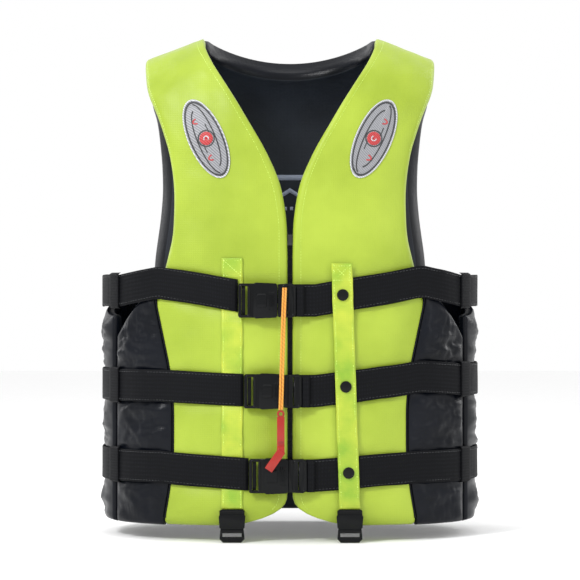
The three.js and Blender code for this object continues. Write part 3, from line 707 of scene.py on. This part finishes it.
# ---- Where things lie: the finished cloth, read along the depth of the vest ----
INTO = Vector((0, 1, 0))
front_cloth = surface_of(*front_pads)
BELT_LIFT, SNAP_LIFT = 2.1, 5.7
BELT_OUT = BELT_LIFT + 2.0
BUCKLE_Y = -147.6
BELT_ROUND = 1180
KEEPER_HALF = 22


def on_front(x, z, lift):
    """A point over the worn shape at the front of the waist."""
    return Vector((x, -reach(x) - lift, z))


def on_cloth(x, z, lift):
    """A point a little above the finished cloth of a front."""
    return lay_on(front_cloth, Vector((x, -HALF_DEPTH - 8, z)), INTO, lift, on_front(x, z, lift))


# ---- Waist belts: one webbing each, round the whole vest ----
def belt_points(belt, angle, lift, across):
    flat = flank(angle, 0, 0)
    ends = [belt_height(belt, side * HALF_WIDTH) for side in (-1, 1)]
    middle = belt_height(belt, flat.x) if math.cos(angle) > 0 else lerp(*ends, (flat.x / HALF_WIDTH + 1) / 2)
    return flank(angle, lift, middle + across)


for number, belt in enumerate(BELTS, 1):
    buckle_x = belt[3]
    start = angle_of(buckle_x + BUCKLE_HALF - 4)
    end = 2 * math.pi + angle_of(buckle_x - BUCKLE_HALF - 0.3)

    def pair_at(row, share):
        angle = lerp(start, end, share)
        thin = 0.5 if abs(row) == 0.5 else 0.0
        point = belt_points(belt, angle, 0, row * BELT_WIDTH)
        free = smooth(share * 14) * smooth((1 - share) * 14)
        ripple = max(0.7 * creases(point, 34, (1, 1, 0.5), 30 + number) * free, -0.3)
        across = row * BELT_WIDTH + 1.2 * creases(point, 70, (1, 1, 0.1), 40 + number) * free
        return (belt_points(belt, angle, BELT_OUT - thin + ripple, across),
                belt_points(belt, angle, BELT_LIFT + thin + ripple, across))

    grids = two_faces((-0.5, -0.47, -0.3, -0.1, 0.1, 0.3, 0.47, 0.5), steps(300), pair_at)
    webbing_band = build(f"waist_belt_{number}_webbing", shell(*grids, (BELT_ROUND, BELT_WIDTH)), [WEBBING])
    settle(webbing_band, "root", f"waist_belt_{number}", slot="black_webbing")

# Keepers: short upright loops at each side, sewn to the side panels, that hold the belts.
for hand, side in ((-1, "left"), (1, "right")):
    loops = []
    for number, belt in enumerate(BELTS, 1):
        middle_height = belt_height(belt, hand * 215)
        face = []
        for lift in (BELT_OUT + 1.9, BELT_OUT + 0.7):
            face.append([[
                flank(hand * angle_of(lerp(206, 217, s)), lift - 3.4 * smooth((abs(v) - 0.92) / 0.08),
                      middle_height + v * KEEPER_HALF) for s in steps(8)
            ] for v in [lerp(-1, 1, share) for share in steps(24)]])
        loops.append(build(f"keeper_{number}", shell(*face, (20, 2 * KEEPER_HALF)), [WEBBING]))
    keepers = join(f"belt_keepers_{side}", loops)
    settle(keepers, "root", slot="black_webbing")

# Doubled belt ends at the buckles: the tail folds through the plug and back on itself.
for number, belt in enumerate(BELTS, 1):
    z = belt[0] * SHOULDER_HEIGHT
    low, high = (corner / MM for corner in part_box(f"belt_tail_{number}"))
    rows = [-0.5, -0.46, -0.2, 0.2, 0.46, 0.5]
    sheets = []
    for y, rolled in ((high.y, 0.0), (low.y, 0.35)):
        sheets.append([[Vector((lerp(low.x, high.x, share), y + (rolled if abs(r) == 0.5 else 0),
                                z + r * (high.z - low.z))) for share in steps(6)] for r in rows])
    tail = build(f"belt_tail_{number}_fold", shell(sheets[1], sheets[0], (9, BELT_WIDTH)), [WEBBING])
    settle(tail, f"plug_{number}", f"belt_tail_{number}", slot="black_webbing")

# ---- Upright straps: lime cloth under the belts at the left, and over them at the right ----
OUT = Vector((0, -1, 0))
LEFT_STRAP_WIDTH, SNAP_STRAP_WIDTH = 25.5, 25
SNAP_TOP_X, SNAP_LEAN = 62, 10.5
left_top, snap_top, strap_bottom = (share * SHOULDER_HEIGHT for share in (*STRAP_TOP, STRAP_BOTTOM))


def strap_sheets(centre, width, top, bottom, lift, thick, puckers, seed, count, on):
    def pair_at(share, column):
        z = lerp(bottom, top, share)
        x = centre(z) + column * width + 0.5 * creases(Vector((0, 0, z)), 26, (1, 1, 1), seed)
        ripple = puckers * abs(creases(Vector((x + 0.8 * z, 0, z)), 19, (0.8, 1, 1.0), seed + 1))
        rolled = 0.4 if abs(column) == 0.5 else 0.0
        ground = on(x, z, lift)
        return ground + OUT * (thick - rolled + ripple), ground + OUT * rolled

    return two_faces(steps(count), (-0.5, -0.46, -0.36, -0.12, 0.12, 0.36, 0.46, 0.5), pair_at)


left_faces = strap_sheets(lambda z: LEFT_STRAP_X, LEFT_STRAP_WIDTH, left_top, strap_bottom,
                          0.5, 1.1, 1.9, 50, 150, on_cloth)
left_strap = build("left_strap_cloth", shell(*left_faces, (LEFT_STRAP_WIDTH, 300)), [LIME_STRAP_PAINTED_FOLD_LIGHT])
settle(left_strap, "root", "left_strap", slot="lime_cloth")


def snap_x(z):
    return SNAP_TOP_X + SNAP_LEAN * (STRAP_TOP[1] - z / SHOULDER_HEIGHT) / STRAP_TOP[1]


snap_faces = strap_sheets(snap_x, SNAP_STRAP_WIDTH, snap_top, strap_bottom,
                          SNAP_LIFT, 1.2, 1.9, 60, 150, on_front)
snap_strap = build("snap_strap_cloth", shell(*snap_faces, (SNAP_STRAP_WIDTH, 295)), [LIME_STRAP_PAINTED_FOLD_LIGHT])
settle(snap_strap, "snap_strap_body", "snap_strap", slot="lime_cloth")

# ---- Moulded parts: the CAD shape with its edges broken as a mould leaves them ----
def moulded_copy(node, body, material, width, slot="black_plastic"):
    copy = new_object(node + "_moulded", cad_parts[node].data.copy())
    bm = bmesh.new()
    bm.from_mesh(copy.data)
    bmesh.ops.remove_doubles(bm, verts=bm.verts, dist=1e-5)
    bmesh.ops.dissolve_limit(bm, angle_limit=math.radians(2), verts=bm.verts, edges=bm.edges)
    bmesh.ops.recalc_face_normals(bm, faces=bm.faces)
    bm.to_mesh(copy.data)
    bm.free()
    copy.data.materials.clear()
    copy.data.materials.append(material)
    bevel = copy.modifiers.new("broken_edge", "BEVEL")
    bevel.width = width * MM
    bevel.segments = 3
    bevel.limit_method = "ANGLE"
    bevel.angle_limit = math.radians(28)
    bevel.use_clamp_overlap = True
    plain_mesh(copy)
    for polygon in copy.data.polygons:
        polygon.use_smooth = True
    copy.data.set_sharp_from_angle(angle=math.radians(34))
    return settle(copy, body, node, slot=slot)


for number in (1, 2, 3):
    moulded_copy(f"buckle_socket_{number}", "root", ACETAL, 0.9)
    moulded_copy(f"buckle_plug_{number}", f"plug_{number}", ACETAL, 0.7)
    moulded_copy(f"buckle_arm_lower_{number}", f"arm_lower_{number}", ACETAL, 0.35)
    moulded_copy(f"buckle_arm_upper_{number}", f"arm_upper_{number}", ACETAL, 0.35)
    moulded_copy(f"snap_stud_{number}", "root", SNAP, 0.12)
    moulded_copy(f"snap_cap_{number}", "snap_strap_body", SNAP, 0.5)
for side in ("left", "right"):
    moulded_copy(f"crotch_socket_{side}", f"crotch_socket_{side}_body", ACETAL, 0.6)
    moulded_copy(f"crotch_plug_{side}", f"crotch_plug_{side}_body", ACETAL, 0.55)
    for arm in (1, 2):
        moulded_copy(f"crotch_arm_{arm}_{side}", f"crotch_arm_{arm}_{side}_body", ACETAL, 0.25)
whistle = moulded_copy("whistle", "whistle_body", WHISTLE, 0.8, "whistle_plastic")
moulded_copy("zip_slider", "zip_slider_body", ZINC, 0.5, "zip_metal")

# ---- Lanyard: a doubled cord from the top plug down to the whistle ----
LANYARD_ROUTE = [
    (-6.5, -152.6, 287), (-6.6, -153.4, 283.5), (-6.7, -155, 280), (-6.9, -156.8, 275), (-7.1, -157.9, 269),
    (-7.4, -158.3, 261), (-7.7, -158.4, 252), (-8, -158.4, 242), (-8.4, -158.4, 230), (-8.7, -158.4, 218),
    (-9.1, -158.4, 206), (-9.4, -158.4, 194), (-9.8, -158.4, 182), (-10.1, -158.4, 170), (-10.4, -158.4, 158),
    (-10.7, -158.4, 149), (-11, -158.4, 141.5),
]
STRAND = 1.35


def tube(name, route, radius, material, sides=14):
    """A round strand swept along a route in mm, with closed ends."""
    rings = []
    for place, point in enumerate(route):
        after, before = route[min(place + 1, len(route) - 1)], route[max(place - 1, 0)]
        way = (after - before).normalized()
        side = way.cross(Vector((0, 1, 0))).normalized()
        out = side.cross(way).normalized()
        ring = [point + (side * math.cos(2 * math.pi * k / sides) * radius
                         + out * math.sin(2 * math.pi * k / sides) * radius) for k in range(sides + 1)]
        rings.append(ring)
    caps = [[[route[k]] * (sides + 1), rings[k]] for k in (0, -1)]
    return build(name, [(rings, 0, False, (2 * math.pi * radius, path_length(route))),
                        (caps[0], 0, False, (1, 1)), (caps[1], 0, True, (1, 1))], [material], 0.01)


def rounded_route(points, count):
    """Catmull-Rom through the points."""
    knots = [Vector(point) for point in points]
    result = []
    for share in steps(count):
        at = share * (len(knots) - 1)
        k = min(int(at), len(knots) - 2)
        u = at - k
        a, b, c, d = (knots[clamp(k + j, 0, len(knots) - 1)] for j in (-1, 0, 1, 2))
        result.append(0.5 * ((2 * b) + (c - a) * u + (2 * a - 5 * b + 4 * c - d) * u * u
                             + (3 * b - a - 3 * c + d) * u ** 3))
    return result


strands = []
for hand in (-1, 1):
    path = [point + Vector((hand * (STRAND + 0.12), 0, 0)) for point in rounded_route(LANYARD_ROUTE, 120)]
    strands.append(tube(f"strand_{hand}", path, STRAND, CORD))
lanyard = join("lanyard_cord", strands)
settle(lanyard, "lanyard", "whistle_lanyard", slot="lanyard_cord")
lanyard_path = [tuple(value * MM for value in point) for point in LANYARD_ROUTE]
lanyard_length = path_length([Vector(point) for point in lanyard_path])
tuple(lanyard_path[0])

# ---- Shoulder yokes: lime cloth over the top of the back ----
back_cloth = surface_of(back_pad)
# Set in from the pad's rounded edges, so that the flat cloth doesn't stand out past them.
YOKE_NECK_INSET, YOKE_ARM_INSET = 4, 6
for hand, side in ((-1, "left"), (1, "right")):
    faces = []
    for lift in (1.7, 0.35):
        rows = []
        for t in [lerp(0.9, 1, share) for share in steps(16)]:
            rows.append([skin(1, hand * lerp(NECK + YOKE_NECK_INSET, SHOULDER - YOKE_ARM_INSET, s), t, -lift)
                         for s in steps(18)])
        faces.append(rows)
    # The cut is a plain rectangle, so its sides are the lengths along the middle of the laid cloth.
    yoke_long, yoke_wide = (path_length(run) for run in ([row[9] for row in faces[0]], faces[0][8]))
    yoke = build(f"shoulder_yoke_{side}_cloth", shell(*faces, (yoke_wide, yoke_long)), [LIME])
    settle(yoke, "root", f"shoulder_yoke_{side}", slot="lime_cloth")

# ---- What repeats: sewn stitches and zip teeth, set along paths ----
def socket_named(tree, name):
    return next(item.identifier for item in tree.interface.items_tree if item.name == name)


def repeat_tree():
    """Copies a small rounded body along every path, turned to follow it."""
    tree = bpy.data.node_groups.new("along_a_path", "GeometryNodeTree")
    face = tree.interface
    face.new_socket("Geometry", in_out="INPUT", socket_type="NodeSocketGeometry")
    for name in ("Pitch", "Length", "Width", "Height"):
        face.new_socket(name, in_out="INPUT", socket_type="NodeSocketFloat")
    face.new_socket("Finish", in_out="INPUT", socket_type="NodeSocketMaterial")
    face.new_socket("Geometry", in_out="OUTPUT", socket_type="NodeSocketGeometry")
    given = add(tree, "NodeGroupInput")
    path = add(tree, "GeometryNodeMeshToCurve", {"Mesh": (given, "Geometry")})
    spaced = add(tree, "GeometryNodeResampleCurve", {"Curve": (path, "Curve"), "Length": (given, "Pitch")},
                 mode="LENGTH")
    tangent = add(tree, "GeometryNodeInputTangent")
    turned = add(tree, "FunctionNodeAlignRotationToVector", {"Vector": (tangent, "Tangent")}, axis="X")
    body = add(tree, "GeometryNodeMeshIcoSphere", {"Radius": 0.5, "Subdivisions": 2})
    size = add(tree, "ShaderNodeCombineXYZ",
               {"X": (given, "Length"), "Y": (given, "Width"), "Z": (given, "Height")})
    jitter = add(tree, "FunctionNodeRandomValue",
                 {"Min": (0.9, 0.9, 0.9), "Max": (1.08, 1.08, 1.08), "Seed": 7}, data_type="FLOAT_VECTOR")
    uneven = add(tree, "ShaderNodeVectorMath",
                 {0: (size, "Vector"), 1: (jitter, "Value")}, operation="MULTIPLY")
    placed = add(tree, "GeometryNodeInstanceOnPoints", {
        "Points": (spaced, "Curve"), "Instance": (body, "Mesh"), "Rotation": (turned, "Rotation"),
        "Scale": (uneven, "Vector")})
    real = add(tree, "GeometryNodeRealizeInstances", {"Geometry": (placed, "Instances")})
    coated = add(tree, "GeometryNodeSetMaterial",
                 {"Geometry": (real, "Geometry"), "Material": (given, "Finish")})
    add(tree, "NodeGroupOutput", {"Geometry": (coated, "Geometry")})
    return tree


ALONG_A_PATH = repeat_tree()


# Pitch along the path, then length, width (outward) and height (across the path) of one body, in mm.
EDGE_STITCH = (3.4, 2.5, 0.6, 0.45)
STRAP_STITCH = (3.0, 2.2, 0.6, 0.6)
BELT_STITCH = (4.2, 3.0, 0.6, 0.6)
ZIP_TOOTH = (2.4, 1.3, 0.36, 1.9)


def repeated(name, paths, body, material, sizes, slot):
    mesh = bpy.data.meshes.new(name)
    points, edges = [], []
    for path in paths:
        first = len(points)
        points += [point * MM for point in path]
        edges += [(first + i, first + i + 1) for i in range(len(path) - 1)]
    mesh.from_pydata(points, edges, [])
    piece = new_object(name, mesh)
    nodes = piece.modifiers.new("repeat", "NODES")
    nodes.node_group = ALONG_A_PATH
    for key, value in zip(("Pitch", "Length", "Width", "Height"), sizes):
        nodes[socket_named(ALONG_A_PATH, key)] = value * MM
    nodes[socket_named(ALONG_A_PATH, "Finish")] = material
    plain_mesh(piece)
    for polygon in piece.data.polygons:
        polygon.use_smooth = True
    return settle(piece, body, slot=slot)


def edge_path(hand, inset, start, stop, count, lift, outer=False):
    """A line on the finished cloth a fixed way in from the zip or V edge, or from the arm edge."""
    path = []
    for share in steps(count):
        t = lerp(start, stop, share)
        z = level(t)
        near, far = inner_edge(t), along(ARM_EDGE, z / SHOULDER_HEIGHT)
        x = hand * (far - inset if outer else near + inset)
        flat = skin(-1, x, t, 0)
        path.append(lay_on(front_cloth, flat, INTO, lift, flat))
    return path


# ---- Piping and seams on the fronts ----
def turned_edge(hand, s, start, stop, depth, count):
    """A line along a front's own edge, at a depth where its cloth turns back to the lining."""
    return [front_point(hand, s, lerp(start, stop, share), depth) for share in steps(count)]


for hand, side in ((-1, "left"), (1, "right")):
    lines = [
        tube(f"v_seam_{side}", turned_edge(hand, 0, 0.5, 0.97, 11, 150), 1.0, PIPING, 8),
        tube(f"arm_seam_{side}", turned_edge(hand, 1, 0.39, 0.97, 14.5, 160), 1.1, PIPING, 8),
        tube(f"side_piping_{side}", edge_path(hand, 1.2, 0.012, 0.385, 130, 0.1, True), 1.0, PIPING, 10),
    ]
    settle(join(f"piping_{side}", lines), "root", slot="dark_nylon")
    rows = [edge_path(hand, 11, 0.03, 0.94, 200, 0.05), edge_path(hand, 7, 0.62, 0.93, 130, 0.05, True)]
    repeated(f"edge_stitches_{side}", rows, "root", LIME_THREAD, EDGE_STITCH, "lime_cloth")


def box_stitch(centre, half_width, low, high, lift, on):
    """The corners of a sewn box with a cross in it, over a strap's end."""
    corner = {(a, b): on(centre + a * half_width, z, lift) for a in (-1, 1) for b, z in ((0, low), (1, high))}
    loop = [corner[k] for k in ((-1, 0), (1, 0), (1, 1), (-1, 1), (-1, 0))]
    lines = [[loop[i], loop[i + 1]] for i in range(4)]
    return lines + [[corner[(-1, 0)], corner[(1, 1)]], [corner[(1, 0)], corner[(-1, 1)]]]


left_rows = box_stitch(LEFT_STRAP_X, 10, left_top - 21, left_top - 3, 1.8, on_cloth)
left_rows += [[on_cloth(LEFT_STRAP_X + a * 10.3, lerp(24, left_top - 2, share), 1.9) for share in steps(60)]
              for a in (-1, 1)]
repeated("left_strap_stitches", left_rows, "root", LIME_THREAD, STRAP_STITCH, "lime_cloth")
snap_rows = [[on_front(snap_x(z) + a * 10, z, SNAP_LIFT + 1.55) for z in
              [lerp(24, snap_top - 2, share) for share in steps(60)]] for a in (-1, 1)]
snap_rows += box_stitch(snap_x(snap_top), 9, snap_top - 20, snap_top - 3, SNAP_LIFT + 1.6, on_front)
repeated("snap_strap_stitches", snap_rows, "snap_strap_body", LIME_THREAD, STRAP_STITCH, "lime_cloth")

belt_rows = []
for belt in BELTS:
    start, end = angle_of(belt[3] + BUCKLE_HALF + 3), 2 * math.pi + angle_of(belt[3] - BUCKLE_HALF - 12)
    for across in (-16.8, 16.8):
        belt_rows.append([belt_points(belt, lerp(start, end, share), BELT_OUT + 0.1, across)
                          for share in steps(260)])
repeated("belt_edge_stitches", belt_rows, "root", DARK_THREAD, BELT_STITCH, "black_webbing")

# ---- Zip: woven tapes and two rows of teeth ----
for side in ("left", "right"):
    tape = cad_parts[f"zip_tape_{side}"]
    tape.data.materials.clear()
    tape.data.materials.append(NYLON)
zip_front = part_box("zip_tape_left")[0].y / MM
# A flat coil: the teeth stand only 0.2 mm off the tape, so the slider runs over them.
teeth = [[Vector((x, zip_front, z)) for z in (49, 336)] for x in (-1.0, 1.0)]
repeated("zip_teeth", teeth, "root", ACETAL, ZIP_TOOTH, "black_plastic")

# ---- Chest patches: a woven oval with satin-stitched border, lines and a red disc ----
def oval_point(hand, lengthwise, across, lift):
    tilt = math.radians(66) * hand
    x = hand * 0.437 * HALF_WIDTH + lengthwise * math.cos(tilt) - across * math.sin(tilt)
    z = 0.778 * SHOULDER_HEIGHT + lengthwise * math.sin(tilt) + across * math.cos(tilt)
    return lay_on(front_cloth, Vector((x, -100, z)), INTO, lift, Vector((x, -100 - lift, z)))


def band(hand, inner, outer, lift, high, turn, offset, crown):
    """A raised satin-stitched band between two ovals given by their half axes, over part of a turn."""
    def pair_at(share, k):
        angle = 2 * math.pi * lerp(*turn, share)
        long, short = lerp(inner[0], outer[0], k), lerp(inner[1], outer[1], k)
        where = (hand, offset + long * math.cos(angle), short * math.sin(angle))
        return oval_point(*where, lift + high + crown * math.sin(math.pi * k)), oval_point(*where, lift)

    return shell(*two_faces(steps(72), steps(6), pair_at), (6, 60))


# Each layer: inner and outer half axes, lift and height in mm, part of a turn, X offset, crown and thread.
PATCH_LAYERS = [
    ("field", (0.4, 0.2), (50, 20.9), 0.2, 0.7, (0.0, 1.0), 0, 0.2, SILVER_THREAD),
    ("border", (49.4, 20.3), (51.5, 22), 0.2, 0.9, (0.0, 1.0), 0, 0.6, PALE_THREAD),
    ("line", (46.6, 18.0), (48.6, 19.6), 0.9, 0.35, (0.0, 1.0), 0, 0.25, BLACK_THREAD),
    ("ring", (9.0, 9.0), (10.4, 10.4), 0.9, 0.35, (0.0, 1.0), 0, 0.2, BLACK_THREAD),
    ("disc", (0.3, 0.3), (8.2, 8.2), 0.9, 0.5, (0.0, 1.0), 0, 0.4, RED_THREAD),
    ("disc_mark", (2.2, 2.2), (3.4, 3.4), 1.6, 0.4, (0.1, 0.8), 0, 0.2, PALE_THREAD),
]
for way, start in ((-1, 0.0), (1, 0.5)):
    PATCH_LAYERS += [
        ("sweep", (40, 10.4), (42, 11.9), 0.9, 0.4, (start + 0.02, start + 0.48), way * 4, 0.25,
         BLACK_THREAD),
        ("bar", (2.4, 6.0), (4.2, 7.8), 0.9, 0.4, (0.55, 0.95), way * 24, 0.25, RED_THREAD),
        ("dash", (17, 5.2), (19, 6.4), 0.9, 0.35, (start + 0.12, start + 0.3), way * 11, 0.2, BLACK_THREAD),
    ]

for hand, side in ((-1, "left"), (1, "right")):
    parts = [build(name, band(hand, inner, outer, lift, high, turn, offset, crown), [material], 0.02)
             for name, inner, outer, lift, high, turn, offset, crown, material in PATCH_LAYERS]
    patch = join(f"chest_patch_{side}_embroidery", parts)
    settle(patch, "root", f"chest_patch_{side}", slot="patch_thread")

# ---- Generic print on the inside of the back: a bar, a chevron and a row of dots ----
def printed(corners_low, corners_high, count):
    """A strip of ink between two lines in X and Z, laid on the lining."""
    faces = []
    for lift in (0.55, 0.1):
        rows = []
        for line in (corners_low, corners_high):
            rows.append([])
            for k in steps(count):
                x, z = lerp(line[0][0], line[1][0], k), lerp(line[0][1], line[1][1], k)
                rows[-1].append(lay_on(back_cloth, Vector((x, 62, z)), INTO, lift, Vector((x, 60, z))))
        faces.append(rows)
    return shell(*faces, (10, 4))


ink = [printed(((-18, 427), (34, 427)), ((-18, 434), (34, 434)), 20),
       printed(((-17, 401), (0, 411)), ((-17, 406), (0, 417)), 8),
       printed(((0, 411), (17, 401)), ((0, 417), (17, 406)), 8)]
ink += [printed(((x, 388), (x + 4, 388)), ((x, 392.5), (x + 4, 392.5)), 2) for x in (-16, -8, 0, 8, 16)]
print_marks = build("inner_back_print", [sheet for piece in ink for sheet in piece], [INK], 0.01)
settle(print_marks, "root", slot="dark_nylon")

# ---- Raised detail on the waist buckles: a panel and three grip ribs on each socket ----
def raised_block(x0, x1, z0, z1, face_y, high):
    """A low block with rounded shoulders standing out from a flat face."""
    def pair_at(v, u):
        x, z = lerp(x0, x1, u), lerp(z0, z1, v)
        near = min(x - x0, x1 - x, z - z0, z1 - z)
        return Vector((x, face_y - high * smooth(near / 0.7 + 0.15), z)), Vector((x, face_y + 0.1, z))

    return shell(*two_faces(steps(8), steps(8), pair_at), (5, 5))


for number, belt in enumerate(BELTS, 1):
    low, high = (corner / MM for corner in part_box(f"buckle_socket_{number}"))
    z = belt[0] * SHOULDER_HEIGHT
    ribs = []
    for k in range(3):
        ribs += raised_block(high.x - 10 + 2.6 * k, high.x - 8.6 + 2.6 * k, z - 11, z + 11, low.y, 0.55)
    ribs += raised_block(high.x - 25, high.x - 13, z - 8, z + 8, low.y, 0.5)
    # The belt's end fills part of the frame's slot, where it turns round the outer bar.
    turn_block = raised_block(low.x + 4.2, low.x + 8.6, z - 16.8, z + 16.8, BUCKLE_Y - 1.6, 1.2)
    settle(build(f"belt_turn_{number}", turn_block, [WEBBING], 0.01), "root", slot="black_webbing")
    settle(build(f"socket_ribs_{number}", ribs, [ACETAL], 0.01), "root", slot="black_plastic")


def loop_route(x0, x1, z0, z1, y, corner):
    """A closed rounded rectangle in X and Z."""
    route = []
    for cx, cz, turn in ((x1, z1, 0), (x0, z1, 1), (x0, z0, 2), (x1, z0, 3)):
        middle = Vector((cx - math.copysign(corner, cx - (x0 + x1) / 2), y,
                         cz - math.copysign(corner, cz - (z0 + z1) / 2)))
        for k in steps(6):
            angle = (turn + k) * math.pi / 2
            route.append(middle + Vector((math.cos(angle), 0, math.sin(angle))) * corner)
    return route + [route[0], route[1]]


RIM_HALF, RIM_CORNER, RIM_RADIUS, BAR_RADIUS = 18.6, 3.2, 1.7, 1.5
RIM_Y = BUCKLE_Y - 1.8


def drawn_frame(name, x0, x1, bars):
    """The thick rounded rim that a ladder frame is moulded with, and its cross bars, centred on z = 0."""
    rims = [tube("rim", loop_route(x0, x1, -RIM_HALF, RIM_HALF, RIM_Y, RIM_CORNER), RIM_RADIUS, ACETAL, 12)]
    rims += [tube("bar", [Vector((x, RIM_Y, z)) for z in (-RIM_HALF, RIM_HALF)], BAR_RADIUS, ACETAL, 12)
             for x in bars]
    return join(name, rims)


for number, belt in enumerate(BELTS, 1):
    socket_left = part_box(f"buckle_socket_{number}")[0].x / MM
    plug_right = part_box(f"buckle_plug_{number}")[1].x / MM
    for node, body, left, right, bars in (
            (f"buckle_socket_{number}", "root", socket_left + 1.9, socket_left + 13.2, ()),
            (f"buckle_plug_{number}", f"plug_{number}", plug_right - 15.4, plug_right - 1.9,
             (plug_right - 8.6,))):
        rim = drawn_frame(f"{node}_rim", left, right, bars)
        rim.data.transform(Matrix.Translation((0, 0, belt[0] * SHOULDER_HEIGHT * MM)))
        settle(rim, body, slot="black_plastic")
